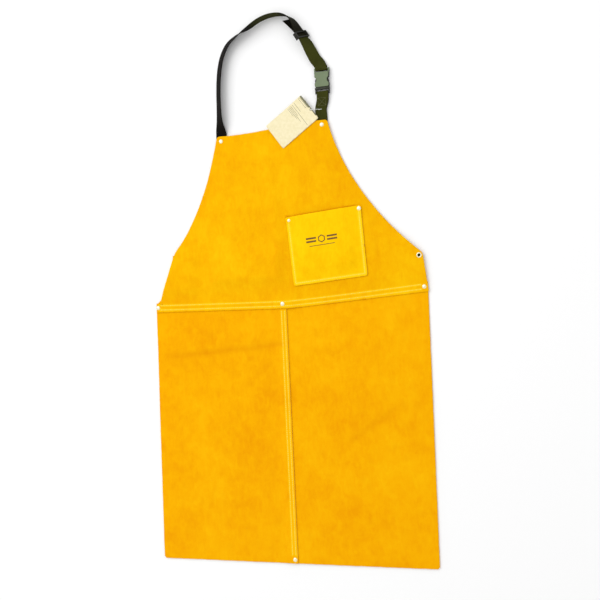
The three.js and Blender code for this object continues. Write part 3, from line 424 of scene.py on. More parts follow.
suedeBib = makeSuede(
    "suedeBib", (0.82, 0.345, 0.001), (0.87, 0.430, 0.001), (0.91, 0.51, 0.002), (0.97, 0.64, 0.008))
suedeSkirt = makeSuede(
    "suedeSkirt", (0.83, 0.325, 0.001), (0.89, 0.405, 0.001), (0.92, 0.475, 0.002), (0.97, 0.63, 0.008))
suedePocket = makeSuede(
    "suedePocket", (0.89, 0.47, 0.001), (0.94, 0.560, 0.002), (0.96, 0.63, 0.003), (1.0, 0.72, 0.020))
cutEdge = makeCutEdge()
waxedThread = makeThread("waxedThread", (0.93, 0.66, 0.05), (1.0, 0.80, 0.16), 0.55, 0.6)
oliveThread = makeThread("oliveThread", (0.060, 0.062, 0.018), (0.13, 0.13, 0.04), 0.7)
nickelPlate = makeNickel()
oliveWebbing = makeWebbing()
# the last colour is the painted glare on the socket's top face
bucklePlastic = makePlastic(
    "bucklePlastic", (0.008, 0.010, 0.005), (0.014, 0.017, 0.008), 0.46, (0.150, 0.195, 0.105))
latchPlastic = makePlastic("latchPlastic", (0.006, 0.007, 0.003), (0.012, 0.013, 0.006), 0.42)
sliderPlastic = makePlastic("sliderPlastic", (0.003, 0.003, 0.0015), (0.007, 0.007, 0.003), 0.5)
brownInk = makeInk()
clearFilament = makeFilament()
tagCard = makeCard()
print("materials ready")


# Shared mesh work

def finishPiece(bm, name, materials, slotName, body, *nodes):
    mesh = bpy.data.meshes.new(name)
    bm.to_mesh(mesh)
    bm.free()
    for material in materials:
        mesh.materials.append(material)
    piece = bpy.data.objects.new(name, mesh)
    bpy.context.scene.collection.objects.link(piece)
    if body:
        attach(piece, body)
    if nodes:
        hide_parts(*nodes)
    return piece


def treeOf(points):
    tree = kdtree.KDTree(len(points))
    for i, point in enumerate(points):
        tree.insert(Vector((point.x, point.y, 0)), i)
    tree.balance()
    return tree


def dropOn(surface, x, y):  # where a line straight down meets the surface, and the surface's normal there
    return surface.ray_cast(Vector((x, y, 0.1)), Vector((0, 0, -1)))[:2]


def extrudeRing(bm, edges, carried):  # the new edges, and what each new vertex takes over from its old one
    made = bmesh.ops.extrude_edge_only(bm, edges=edges)["geom"]
    fresh = {g for g in made if isinstance(g, bmesh.types.BMVert)}
    newEdges = [g for g in made if isinstance(g, bmesh.types.BMEdge) and set(g.verts) <= fresh]
    following = {}
    for vert in fresh:
        before = next(o for o in (e.other_vert(vert) for e in vert.link_edges) if o in carried)
        following[vert] = carried[before]
    return newEdges, following


def shadeSmooth(bm, sharpAngle):
    for face in bm.faces:
        face.smooth = True
    for edge in bm.edges:
        if len(edge.link_faces) == 2 and edge.calc_face_angle(0) > math.radians(sharpAngle):
            edge.smooth = False


def mergedCopy(node):
    bm = bmesh.new()
    bm.from_mesh(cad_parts[node].data)
    bmesh.ops.remove_doubles(bm, verts=bm.verts, dist=2e-6)
    return bm


def spunProfile(profile, segments, place):  # profile is radius and height pairs
    bm = bmesh.new()
    ring = [bm.verts.new((radius, 0, height)) for radius, height in profile]
    edges = [bm.edges.new(pair) for pair in zip(ring, ring[1:])]
    bmesh.ops.spin(bm, geom=ring + edges, cent=(0, 0, 0), axis=(0, 0, 1), angle=2 * math.pi,
                   steps=segments, use_merge=True)
    bmesh.ops.remove_doubles(bm, verts=bm.verts, dist=1e-6)
    bmesh.ops.recalc_face_normals(bm, faces=bm.faces)
    bmesh.ops.translate(bm, verts=bm.verts, vec=place)
    return bm


# How the leather lies: broad waves, and the creases it was packed with

waves = {
    "broad": 1.7 * mm, "broadSize": 0.17, "middle": 0.9 * mm, "middleSize": 0.055,
    "neckFade": (0.315, 0.24),  # the bib is held flat above here
}
ripple = {"height": 0.16 * mm, "size": 0.012}
creases = [  # from, to, height, half width
    ((-0.030, 0.325), (-0.004, -0.020), 1.5 * mm, 11 * mm),
    ((-0.295, -0.140), (0.010, -0.118), -0.7 * mm, 7 * mm),
    ((0.004, -0.120), (0.290, -0.150), 0.5 * mm, 8 * mm),
    ((-0.300, -0.500), (-0.225, -0.575), 0.9 * mm, 6 * mm),
    ((0.120, -0.330), (0.240, -0.250), -0.5 * mm, 6 * mm),
    ((0.190, 0.010), (0.235, 0.120), 0.5 * mm, 6 * mm),
    ((0.205, 0.040), (0.200, 0.095), -0.5 * mm, 4 * mm),
    ((-0.240, -0.330), (-0.110, -0.270), 0.5 * mm, 9 * mm),
]


def creaseAt(x, y):
    total = 0.0
    for (x0, y0), (x1, y1), height, halfWidth in creases:
        runX, runY = x1 - x0, y1 - y0
        length = math.hypot(runX, runY)
        along = ((x - x0) * runX + (y - y0) * runY) / length**2
        wander = 0.5 * halfWidth * noise.noise(Vector((along * 6, height / mm, 2.0)))
        off = ((x - x0) * runY - (y - y0) * runX) / length + wander
        fade = smoothStep(-0.02, 0.14, along) * smoothStep(1.02, 0.86, along)
        total += height * fade * math.exp(-((off / halfWidth) ** 2))
    return total


def waveAt(x, y):
    fade = smoothStep(*waves["neckFade"], y)
    broad = 0.5 + 0.5 * noise.noise(Vector((x, y * 0.8, 0.31)) / waves["broadSize"])
    middle = 0.5 + 0.5 * noise.noise(Vector((x, y, 0.2)) / waves["middleSize"])
    return fade * max(0.0, waves["broad"] * broad**1.5 + waves["middle"] * middle**2 + creaseAt(x, y))


# Seams, from the rivets that end them

rivetLeft, rivetCentre, rivetRight = [centreOf(f"waist_rivet_{end}_cap") for end in ("left", "centre", "right")]
pocketLeft, pocketRight = centreOf("pocket_rivet_left_cap"), centreOf("pocket_rivet_right_cap")
acrossPocket = (pocketRight - pocketLeft).normalized()
upPocket = Vector((-acrossPocket.y, acrossPocket.x, 0))
stitching = {
    "waistRows": 9.5 * mm, "centreRows": 7 * mm, "pitch": 4.4 * mm, "length": 3.7 * mm, "width": 1.25 * mm,
    "height": 0.85 * mm, "seamCurve": 1.15, "centreLean": 4 / 547.5, "bandWidth": 2.2 * mm,
    "pocketTop": 7 * mm, "pocketDepth": 135 * mm, "pocketEdge": 1 * mm, "pocketTaper": 4.5 * mm,
}


def seamAt(x):
    end = rivetLeft if x < 0 else rivetRight
    return rivetCentre.y + (end.y - rivetCentre.y) * max(0.0, x / end.x) ** stitching["seamCurve"]


def seamMiddle(y):  # the centre seam leans a little as it comes down from its rivet
    return rivetCentre.x + stitching["centreLean"] * (rivetCentre.y - y)


def rowPoints(start, end, count, place):
    return [place(start + (end - start) * i / count) for i in range(count + 1)]


def waistRow(side):
    low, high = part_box("waist_stitches_upper")
    offset = side * stitching["waistRows"] / 2
    return rowPoints(low.x, high.x, 60, lambda x: Vector((x, seamAt(x) + offset, 0)))


def centreRow(side):
    low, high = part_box("centre_stitches_left")
    offset = side * stitching["centreRows"] / 2
    return rowPoints(low.y, high.y, 30, lambda y: Vector((seamMiddle(y) + offset, y, 0)))


def pocketRow():
    edge, start, drop = stitching["pocketEdge"], stitching["pocketTop"], stitching["pocketDepth"]
    corners = [pocketLeft - acrossPocket * edge - upPocket * start]
    corners.append(pocketLeft - acrossPocket * edge - upPocket * drop)
    corners.append(pocketRight - acrossPocket * stitching["pocketTaper"] - upPocket * drop)
    corners.append(pocketRight - acrossPocket * edge - upPocket * start)
    points = []
    for a, b in zip(corners, corners[1:]):
        points += [a.lerp(b, i / 30) for i in range(30)]
    return points + [corners[-1]]


rows = {
    "waist_stitches_upper": waistRow(1), "waist_stitches_lower": waistRow(-1),
    "centre_stitches_left": centreRow(-1), "centre_stitches_right": centreRow(1),
    "pocket_stitches": pocketRow(),
}


def lineTree(points):
    fine = []
    for a, b in zip(points, points[1:]):
        if (a - b).length < 40 * mm:  # a longer step leads from one row to the next
            fine += [a.lerp(b, i / 8) for i in range(8)]
    return treeOf(fine)


def rowTree(names):
    return lineTree([point for name in names for point in rows[name]])


# Leather panels

surfaces = {}
panelCuts = {"grid": 6 * mm, "thickness": 1.6 * mm, "edgeRound": 0.35 * mm, "edgeWander": 0.35 * mm}


def nearRivet(vert):
    return any((vert.co.xy - centre.xy).length < 3 * mm for centre in rivetCentres)


rivetNames = ["waist_rivet_left", "waist_rivet_centre", "waist_rivet_right", "hem_rivet", "neck_rivet_left",
              "neck_rivet_right", "pocket_rivet_left", "pocket_rivet_right"]
rivetCentres = [centreOf(name + "_cap") for name in rivetNames]


def upperFace(node, grid):  # the panel's outline as one flat layer of squares, and the CAD solid to lay it on
    bm = mergedCopy(node)
    solid = BVHTree.FromBMesh(bm)
    hidden = []
    for face in bm.faces:
        centre = face.calc_center_median()
        if face.normal.z < 0.3 or dropOn(solid, centre.x, centre.y)[0].z > centre.z + 2e-5:
            hidden.append(face)
    bmesh.ops.delete(bm, geom=hidden, context="FACES")
    for vert in bm.verts:
        vert.co.z = 0
    holes = [e for e in bm.edges if e.is_boundary and nearRivet(e.verts[0]) and nearRivet(e.verts[1])]
    bmesh.ops.holes_fill(bm, edges=holes, sides=40)
    bmesh.ops.dissolve_limit(bm, angle_limit=0.02, verts=bm.verts, edges=bm.edges)
    low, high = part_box(node)
    for axis in (0, 1):
        count = round((high[axis] - low[axis]) / grid)
        normal = Vector((axis == 0, axis == 1, 0))
        for i in range(1, count):
            cut = normal * (low[axis] + (high[axis] - low[axis]) * i / count)
            whole = [*bm.verts, *bm.edges, *bm.faces]
            bmesh.ops.bisect_plane(bm, geom=whole, dist=1e-6, plane_co=cut, plane_no=normal)
    bmesh.ops.recalc_face_normals(bm, faces=bm.faces)
    if sum(face.normal.z for face in bm.faces) < 0:
        bmesh.ops.reverse_faces(bm, faces=bm.faces)
    return bm, solid


def heightOn(solid, x, y, inward):
    for nudge in (0.0, 0.15 * mm, 0.5 * mm):
        hit = dropOn(solid, x + inward.x * nudge, y + inward.y * nudge)[0]
        if hit:
            return hit.z
    return solid.find_nearest(Vector((x, y, 0.006)))[0].z


def layOnSolid(bm, solid, middle, rounds):  # heights from the CAD solid, its folds softened but never let down
    floor = {}
    for vert in bm.verts:
        inward = (middle - vert.co).normalized()
        floor[vert] = heightOn(solid, vert.co.x, vert.co.y, inward)
        vert.co.z = floor[vert]
    for _ in range(rounds):
        bmesh.ops.smooth_vert(bm, verts=bm.verts, factor=0.5, use_axis_z=True)
        for vert, height in floor.items():
            vert.co.z = max(vert.co.z, height)


def refineNear(bm, tree, reach, cuts):  # smaller faces beside the stitches
    close = [f for f in bm.faces if tree.find(Vector((*f.calc_center_median().xy, 0)))[2] < reach]
    edges = list({e for f in close for e in f.edges})
    bmesh.ops.subdivide_edges(bm, edges=edges, cuts=cuts, use_grid_fill=True)


def dressLeather(bm, tree):  # waves, the dip that the stitches pull, and the masks that the suede reads: a lighter band along the stitch rows, and painted shade in hollows and grooves
    stitchBand = bm.verts.layers.float.new("stitchBand")
    creaseShade = bm.verts.layers.float.new("creaseShade")
    outline = {v for v in bm.verts if v.is_boundary}
    for vert in bm.verts:
        x, y = vert.co.x, vert.co.y
        near = tree.find(Vector((x, y, 0)))[2] if tree else 1.0
        # a lighter band along the stitch rows, fading with distance from them
        vert[stitchBand] = 0.9 * math.exp(-((near / stitching["bandWidth"]) ** 2))
        dip = 0.3 * mm * math.exp(-((near / (2.2 * mm)) ** 2))
        small = ripple["height"] * noise.noise(Vector((x, y * 0.7, 0.1)) / ripple["size"])
        vert.co.z += waveAt(x, y) + small - dip
        # painted shade: the colour darkens in the low points of the ripple and along the sunk creases
        hollow = 0.3 * max(0.0, -small / ripple["height"] - 0.2)
        vert[creaseShade] = min(0.5, hollow - min(0.0, creaseAt(x, y)) / (2.2 * mm))
        if vert in outline:
            wander = panelCuts["edgeWander"]
            vert.co.x += wander * noise.noise(Vector((x, y, 0.5)) / (9 * mm))
            vert.co.y += wander * noise.noise(Vector((x, y, 0.9)) / (9 * mm))


def finishSheet(bm, name, suede, slotName, node, flat, area):
    for face in bm.faces:
        face.smooth = True
    piece = finishPiece(bm, name, [suede, cutEdge], slotName, "apron", node)
    wall = piece.modifiers.new("thickness", "SOLIDIFY")
    wall.thickness = panelCuts["thickness"]
    wall.offset = -1
    wall.material_offset_rim = 1
    rounding = piece.modifiers.new("softEdge", "BEVEL")
    rounding.width = panelCuts["edgeRound"]
    rounding.segments = 2
    rounding.limit_method = "ANGLE"
    rounding.angle_limit = math.radians(50)


skirt = {"softening": 6, "seamReach": 13 * mm, "cuts": 3}


def makeSkirt(side, seams, area):
    node = "skirt_panel_" + side
    bm, solid = upperFace(node, panelCuts["grid"])
    low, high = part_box(node)
    layOnSolid(bm, solid, ((low + high) / 2).xy.to_3d(), skirt["softening"])
    tree = rowTree(seams) if seams else None
    if tree:
        refineNear(bm, tree, skirt["seamReach"], skirt["cuts"])
    dressLeather(bm, tree)
    surfaces[node] = BVHTree.FromBMesh(bm)
    flat = (high.x - low.x, high.y - low.y)
    finishSheet(bm, "leather_skirt_" + side, suedeSkirt, "suede_skirt", node, flat, area)


bib = {
    "softening": 14, "seamReach": 13 * mm, "cuts": 3,
    "droop": 3.0 * mm, "droopWidth": 45 * mm,  # the free edges sink towards the surface over this width
    "hipCorner": (46 * mm, 113 * mm),  # top of the turned-under hip, from the left waist rivet
    "foldFoot": (-3 * mm, -10 * mm),
    "flapDepths": ((0.12, 2 * mm), (0.2, 30 * mm), (0.5, 36 * mm), (1.0, 10 * mm)),
    "flare": 5 * mm,  # the edge runs out to the corner of the skirt at the seam
    "leastRoll": 0.15,  # the edge starts to roll by this share of half a turn
    "flapStop": 20 * mm, "flapBase": 1.05 * mm, "foldSteps": 8, "flapSteps": 6, "easeIn": 18 * mm,
    "leastFold": 3.3 * mm, "area": 0.182,
    "mouthWidth": 1.8 * mm, "mouthPast": (3 * mm, 2 * mm), "mouthRise": 7 * mm,  # the painted shadow over the pocket's mouth: its width, and its place from the pocket's rivets
}


def letEdgesDroop(bm):  # a free edge has nothing under it, and the straps hold the rest up
    edges = treeOf([v.co.copy() for v in bm.verts if v.is_boundary and v.co.y > rivetCentre.y + 90 * mm])
    holders = ("neck_rivet_left_cap", "neck_rivet_right_cap", "hip_eyelet_left", "hip_eyelet_right")
    held = [centreOf(node).xy for node in holders]
    for vert in bm.verts:
        away = edges.find(Vector((vert.co.x, vert.co.y, 0)))[2]
        free = min(smoothStep(35 * mm, 95 * mm, (vert.co.xy - place).length) for place in held)
        vert.co.z -= bib["droop"] * free * (1 - smoothStep(0, bib["droopWidth"], away))


def turnUnderHip(bm, corner, foot):  # rolls the hip's edge under and runs it back in as a flap
    run = (foot - corner).length
    down = (foot - corner) / run
    inward = Vector((-down.y, down.x))
    stop = 1 - bib["flapStop"] / run

    def rolled(along):
        most = smoothStep(0, 0.14, along) * smoothStep(stop, stop - 0.06, along)
        return math.pi * (bib["leastRoll"] + (1 - bib["leastRoll"]) * most)

    place = {v: ((v.co.xy - corner).dot(inward), (v.co.xy - corner).dot(down) / run) for v in bm.verts}
    outer = {v: along for v, (depth, along) in place.items() if v.is_boundary and depth < 4 * mm}
    fold = {v for v, along in outer.items() if 0 < along < stop}
    edges = [e for e in bm.edges if e.is_boundary and set(e.verts) <= fold]
    for vert, (depth, along) in place.items():
        if depth < bib["easeIn"]:
            share = smoothStep(-0.08, 0.0, along) * smoothStep(stop + 0.06, stop, along)
            radius = max(bib["leastFold"], vert.co.z - bib["flapBase"]) / 2
            inset = radius * share * math.sin(min(math.pi / 2, rolled(along)))
            flare = bib["flare"] * smoothStep(0.76, 0.87, along) * smoothStep(0.99, 0.91, along)
            flare = max(0.0, min(0.0, depth) + flare)
            vert.co.xy += inward * (inset - flare) * (1 - max(0.0, depth) / bib["easeIn"])
    rails = {vert: vert.co.copy() for edge in edges for vert in edge.verts}
    for i in range(1, bib["foldSteps"] + bib["flapSteps"] + 1):
        edges, rails = extrudeRing(bm, edges, rails)
        for vert, top in rails.items():
            base = min(bib["flapBase"], top.z - bib["leastFold"])
            radius = (top.z - base) / 2
            along = (top.xy - corner).dot(down) / run
            angle = rolled(along) * min(1.0, i / bib["foldSteps"])
            part = max(0, i - bib["foldSteps"]) / bib["flapSteps"]
            depth = part * tableAt(bib["flapDepths"], along / stop)
            vert.co.xy = top.xy + inward * (depth - radius * math.sin(angle))
            vert.co.z = top.z - radius + radius * math.cos(angle)


def makeBib():
    bm, solid = upperFace("bib_panel", panelCuts["grid"])
    low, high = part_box("bib_panel")
    layOnSolid(bm, solid, Vector((0, low.y + 0.15, 0)), bib["softening"])
    letEdgesDroop(bm)
    waist = rowTree(["waist_stitches_upper", "waist_stitches_lower"])
    pastLeft, pastRight = bib["mouthPast"]
    start = pocketLeft - acrossPocket * pastLeft + upPocket * bib["mouthRise"]
    end = pocketRight + acrossPocket * pastRight + upPocket * bib["mouthRise"]
    mouth = [start.lerp(end, i / 30).xy.to_3d() for i in range(31)]
    refineNear(bm, waist, bib["seamReach"], bib["cuts"])
    refineNear(bm, lineTree(mouth[4:-4]), 6 * mm, 2)
    dressLeather(bm, waist)
    creaseShade, shade = bm.verts.layers.float["creaseShade"], lineTree(mouth)
    for vert in bm.verts:  # painted shadow along the mouth of the pocket
        away = shade.find(vert.co.xy.to_3d())[2]
        vert[creaseShade] = max(vert[creaseShade], 0.95 * math.exp(-((away / bib["mouthWidth"]) ** 2)))
    surfaces["bib_panel"] = BVHTree.FromBMesh(bm)
    turnUnderHip(bm, rivetLeft.xy + Vector(bib["hipCorner"]), rivetLeft.xy + Vector(bib["foldFoot"]))
    flat = (high.x - low.x, high.y - low.y)
    finishSheet(bm, "leather_bib", suedeBib, "suede_bib", "bib_panel", flat, bib["area"])


pocket = {
    "grid": 4 * mm, "softening": 16, "curl": 2.4 * mm, "curlReach": 16 * mm, "seamReach": 9 * mm, "cuts": 2,
    "flat": (0.161, 0.146),
}


def makePocket():
    bm, solid = upperFace("chest_pocket", pocket["grid"])
    low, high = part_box("chest_pocket")
    layOnSolid(bm, solid, (low + high) / 2, pocket["softening"])
    tree = rowTree(["pocket_stitches"])
    refineNear(bm, tree, pocket["seamReach"], pocket["cuts"])
    dressLeather(bm, tree)
    tip = pocketLeft - acrossPocket * 7 * mm + upPocket * 6 * mm
    for vert in bm.verts:  # the corner outside the left rivet has curled up a little
        near = 1 - smoothStep(0, pocket["curlReach"], (vert.co.xy - tip.xy).length)
        vert.co.z += pocket["curl"] * near
    surfaces["chest_pocket"] = BVHTree.FromBMesh(bm)
    flat = pocket["flat"]
    area = flat[0] * flat[1]
    finishSheet(bm, "leather_pocket", suedePocket, "suede_pocket", "chest_pocket", flat, area)


makeSkirt("left", ["centre_stitches_left", "centre_stitches_right"], 0.1745)
makeSkirt("right", [], 0.1755)
makeBib()
makePocket()
print("leather panels laid")


# Stitches: each one is its own short loop of thread, sunk at both ends

def frameOf(along, normal):
    side = normal.cross(along).normalized()
    return Matrix((side, along.cross(side).normalized(), along)).transposed().to_4x4()


def addStitch(bm, place, along, normal, length):
    size = Matrix.Diagonal((stitching["width"] / 2, stitching["height"] / 2, length / 2, 1))
    turn = frameOf(along.normalized(), normal)
    at = Matrix.Translation(place) @ turn @ size
    bmesh.ops.create_uvsphere(bm, u_segments=6, v_segments=5, radius=1, matrix=at)


def walk(points, pitch):  # places and headings at even steps along a row
    left = pitch / 2
    for a, b in zip(points, points[1:]):
        length = (b - a).length
        while left <= length:
            yield a.lerp(b, left / length), (b - a) / length
            left += pitch
        left -= length


def sewRow(bm, points, surface, pitch, length):
    count = 0
    for place, heading in walk(points, pitch):
        hit, normal = dropOn(surface, place.x, place.y)
        if not hit:
            continue
        if normal.z < 0:
            normal = -normal
        jitter = 0.09 * noise.noise(place * 900) + 0.05
        turned = (heading + Vector((-heading.y, heading.x, 0)) * jitter).normalized()
        along = (turned - normal * turned.dot(normal)).normalized()
        addStitch(bm, hit + normal * 0.2 * mm, along, normal, length)
        count += 1
    return count


def makeStitches():
    beds = {"waist": "bib_panel", "centre": "skirt_panel_left", "pocket": "chest_pocket"}
    for name, points in rows.items():
        bm = bmesh.new()
        surface = surfaces[beds[name.split("_")[0]]]
        count = sewRow(bm, points, surface, stitching["pitch"], stitching["length"])
        shadeSmooth(bm, 180)
        finishPiece(bm, "thread_" + name, [waxedThread], "thread", "apron", name)
        print(name, count)


makeStitches()


# Rivets and eyelets

rivet = {"rise": 1.6 * mm, "steps": 28, "eyeletSteps": 32}
capProfile = [(0, 1.6), (1.3, 1.54), (2.5, 1.32), (3.4, 0.98), (4.05, 0.55), (4.42, 0.2), (4.5, 0.0),
              (4.35, -0.18)]
washerProfile = [(1.8, 0.0), (4.2, 0.0), (4.5, 0.15), (4.5, 0.45), (4.2, 0.6), (2.0, 0.6), (1.8, 0.0)]
eyeletProfile = [(3.1, -2.6), (3.1, 0.3), (3.3, 0.66), (3.7, 0.84), (4.5, 0.86), (5.1, 0.66), (5.4, 0.2),
                 (5.3, -0.1), (3.7, -0.1), (3.7, -2.6), (3.1, -2.6)]


def scaled(profile):
    return [(radius * mm, height * mm) for radius, height in profile]


def makeRivet(name):
    capLow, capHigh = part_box(name + "_cap")
    centre = (capLow + capHigh) / 2
    lift = waveAt(centre.x, centre.y) if name.startswith(("waist", "hem", "pocket")) else 0.0
    base = capHigh.z - rivet["rise"] + lift
    foot = (capLow.z - base + lift) / mm + 0.1
    shank = [(1.5, -0.18), (1.5, foot), (0, foot)]
    bm = spunProfile(scaled(capProfile + shank), rivet["steps"], (centre.x, centre.y, base))
    shadeSmooth(bm, 50)
    finishPiece(bm, name + "_dome", [nickelPlate], "rivet_metal", "apron", name + "_cap")
    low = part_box(name + "_washer")[0]
    bm = spunProfile(scaled(washerProfile), rivet["steps"], (centre.x, centre.y, low.z + lift * 0.5))
    shadeSmooth(bm, 50)
    finishPiece(bm, name + "_backing", [nickelPlate], "rivet_metal", "apron", name + "_washer")


def makeEyelet(side, up):
    low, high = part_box("hip_eyelet_" + side)
    centre = (low + high) / 2
    level = high.z - 0.9 * mm + waveAt(centre.x, centre.y) if up else low.z + 0.9 * mm
    bm = spunProfile(scaled(eyeletProfile), rivet["eyeletSteps"], (0, 0, 0))
    if not up:
        bmesh.ops.rotate(bm, verts=bm.verts, cent=(0, 0, 0), matrix=Matrix.Rotation(math.pi, 3, "X"))
    bmesh.ops.translate(bm, verts=bm.verts, vec=(centre.x, centre.y, level))
    shadeSmooth(bm, 50)
    finishPiece(bm, "eyelet_" + side, [nickelPlate], "rivet_metal", "apron", "hip_eyelet_" + side)


for rivetName in rivetNames:
    makeRivet(rivetName)
makeEyelet("right", True)
makeEyelet("left", False)
print("rivets and eyelets set")


# Webbing

webbing = {"width": 25 * mm, "thick": 1.5 * mm, "lift": 0.2 * mm, "plyRise": 1.8 * mm}
bar = {"height": 3.85 * mm, "wrap": 2.85 * mm, "turnSteps": 14}
webSection = [(-1, 0), (-0.985, 0.6), (-0.95, 1), (-0.86, 0.92), (-0.5, 0.88), (0, 0.86)]
webSection += [(-x, y) for x, y in reversed(webSection[:-1])]
webSection += [(x, -y) for x, y in reversed(webSection[1:-1])]


def splineAt(points, share):  # centripetal curve through points of three numbers
    last = len(points) - 1
    i = min(int(last * share), last - 1)
    w = last * share - i
    p1, p2 = points[i], points[i + 1]
    p0 = points[i - 1] if i > 0 else p1 * 2 - p2
    p3 = points[i + 2] if i + 2 <= last else p2 * 2 - p1
    steps = [max(1e-6, (a - b).length ** 0.5) for a, b in ((p0, p1), (p1, p2), (p2, p3))]
    t1 = ((p1 - p0) / steps[0] - (p2 - p0) / (steps[0] + steps[1]) + (p2 - p1) / steps[1]) * steps[1]
    t2 = ((p2 - p1) / steps[1] - (p3 - p1) / (steps[1] + steps[2]) + (p3 - p2) / steps[2]) * steps[1]
    return p1 + w * (t1 + w * (3 * (p2 - p1) - 2 * t1 - t2 + w * (2 * (p1 - p2) + t1 + t2)))


def webStations(origin, route, count):  # route: across, up, turn in degrees and lift, in millimetres
    plan = [Vector(point[:3]) for point in route]
    lifts = [Vector((i, point[3], 0)) for i, point in enumerate(route)]
    stations = []
    for i in range(count + 1):
        share = i / count
        at = splineAt(plan, share)
        heading = splineAt(plan, min(1, share + 1e-4)) - splineAt(plan, max(0, share - 1e-4))
        inner = Vector((heading.y, -heading.x, 0)).normalized()
        angle = math.radians(at.z)
        across = inner * math.cos(angle) + Vector((0, 0, math.sin(angle)))
        face = Vector((0, 0, math.cos(angle))) - inner * math.sin(angle)
        height = webbing["width"] / 2 * math.sin(angle) + webbing["thick"] / 2 * math.cos(angle)
        height += webbing["lift"] + splineAt(lifts, share).y * mm
        stations.append((Vector((origin.x + at.x * mm, origin.y + at.y * mm, height)), across, face))
    return stations


def barTurn(centre, across, outward):  # round a buckle's bar, from above it to below it
    stations = []
    for i in range(bar["turnSteps"] + 1):
        angle = math.pi * (0.5 - i / bar["turnSteps"])
        face = outward * math.cos(angle) + Vector((0, 0, math.sin(angle)))
        stations.append((centre + face * bar["wrap"], across, face))
    return stations


def doubledBack(stations):
    return [(middle, across, -face) for middle, across, face in reversed(stations)]


def sweep(stations, section, halfWidth, halfThick, tones=None):  # tones: the painted light on the strap, how olive it is shown station by station
    bm = bmesh.new()
    weaveAt = bm.verts.layers.float_vector.new("weaveAt")
    litSide = bm.verts.layers.float.new("litSide")

    def settle(vert, k, i, along):
        middle, across, face = stations[i]
        u, v = section[k]
        vert.co = middle + across * u * halfWidth + face * v * halfThick
        vert[weaveAt] = (u * halfWidth, along, 0)
        # painted light: without tones the upper side is shown lighter olive and the lower side nearly black
        vert[litSide] = tones[i] if tones else 0.5 + 0.5 * max(-1.0, min(1.0, v * 1.3))

    ring = [bm.verts.new() for _ in section]
    place = {vert: k for k, vert in enumerate(ring)}
    for vert, k in place.items():
        settle(vert, k, 0, 0.0)
    edges = [bm.edges.new((ring[k - 1], ring[k])) for k in range(len(ring))]
    first, along = list(edges), 0.0
    for i in range(1, len(stations)):
        along += (stations[i][0] - stations[i - 1][0]).length
        edges, place = extrudeRing(bm, edges, place)
        for vert, k in place.items():
            settle(vert, k, i, along)
    for loop in (first, edges):
        bmesh.ops.contextual_create(bm, geom=loop)
    bmesh.ops.recalc_face_normals(bm, faces=bm.faces)
    shadeSmooth(bm, 60)
    return bm


def sweepWebbing(stations, tones=None):
    return sweep(stations, webSection, webbing["width"] / 2, webbing["thick"] / 2, tones)


neckStrap = {  # across, up, turn and lift, from the left neck rivet
    "loop": [(0, -9, 0, 0), (0.3, 16, 5, 0), (0, 41, 37, 0), (0, 67, 46, 0), (0.4, 103, 48, 0), (2, 131, 47, 0),
             (5.4, 157, 46, 0), (12.4, 183, 46, 0), (25.4, 206, 48, 0), (45, 221, 57, 0), (74, 235, 83, 0),
             (99, 248.5, 88, 0), (122, 255, 90, 0), (144, 255.5, 90, 0), (161, 251, 86, 0.5),
             (174, 240.5, 76, 2)],
    "tail": [(161.5, 241, 62, 0), (177, 225.5, 59, 2.2)],
    "slider": [(189.48, 211.73, 54, 4.8), (194.7, 203.2, 54, 4.8), (199.92, 194.67, 54, 4.8)],
    "pair": [(205.5, 185, 40, 2.6), (212, 170.5, 28, 1.2), (220.3, 153, 17, 0.3), (228.3, 141.8, 7, 0)],
    # painted light and shade: how olive, that is how lit, the strap is shown, by the number of the point that
    # it passes
    "fadeAndLight": ((0, 0.0), (9.9, 0.0), (10.8, 0.6), (12.8, 0.7), (13.6, 0.12), (17, 0.12), (18, 1.0), (23, 1.0)),
    "tailShade": 0.04, "tailEnds": 2.5,
    "bar": (233.5, 129.8), "topLift": 5.75, "lowLift": 0.05, "loopSteps": 260, "tailSteps": 90,
    "blendFrom": (-0.09, 0.5, 0), "blendTo": (0.03, 0.5, 0),
}


def makeNeckStrap():
    origin = centreOf("neck_rivet_left_cap")
    x, y = neckStrap["bar"]
    upper = neckStrap["loop"] + neckStrap["slider"] + neckStrap["pair"]
    upper = upper + [(x, y, 0, neckStrap["topLift"] - webbing["plyRise"] / mm)]
    lower = neckStrap["tail"] + neckStrap["slider"] + neckStrap["pair"] + [(x, y, 0, neckStrap["lowLift"])]
    count = neckStrap["loopSteps"]
    out, tones = [], []
    for i, (middle, across, face) in enumerate(webStations(origin, upper, count)):
        index = i / count * (len(upper) - 1)
        climb = webbing["plyRise"] * min(1.0, max(0.0, (index - len(neckStrap["loop"]) + 2) / 2))
        out.append((middle + face * climb, across, face))
        tones.append(tableAt(neckStrap["fadeAndLight"], index))
    back = webStations(origin, lower, neckStrap["tailSteps"])
    centre = Vector((origin.x + x * mm, origin.y + y * mm, bar["height"]))
    turn = barTurn(centre, Vector((-1, 0, 0)), Vector((0, -1, 0)))
    steps = neckStrap["tailSteps"]
    # painted shade: the tail, from its end to the slider, is shown nearly black, and the rest of the lower ply
    # lit olive
    tailEnds = [i / steps * (len(lower) - 1) > neckStrap["tailEnds"] for i in range(steps)]
    under = [1.0 if past else neckStrap["tailShade"] for past in tailEnds]
    stations = out[:-1] + turn + doubledBack(back[:-1])
    bm = sweepWebbing(stations, tones[:-1] + [1.0] * len(turn) + under[::-1])
    piece = finishPiece(bm, "webbing_neck_strap", [oliveWebbing], "webbing", None, "neck_strap")
    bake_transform(piece, "apron", "neck_female", start=neckStrap["blendFrom"], end=neckStrap["blendTo"])


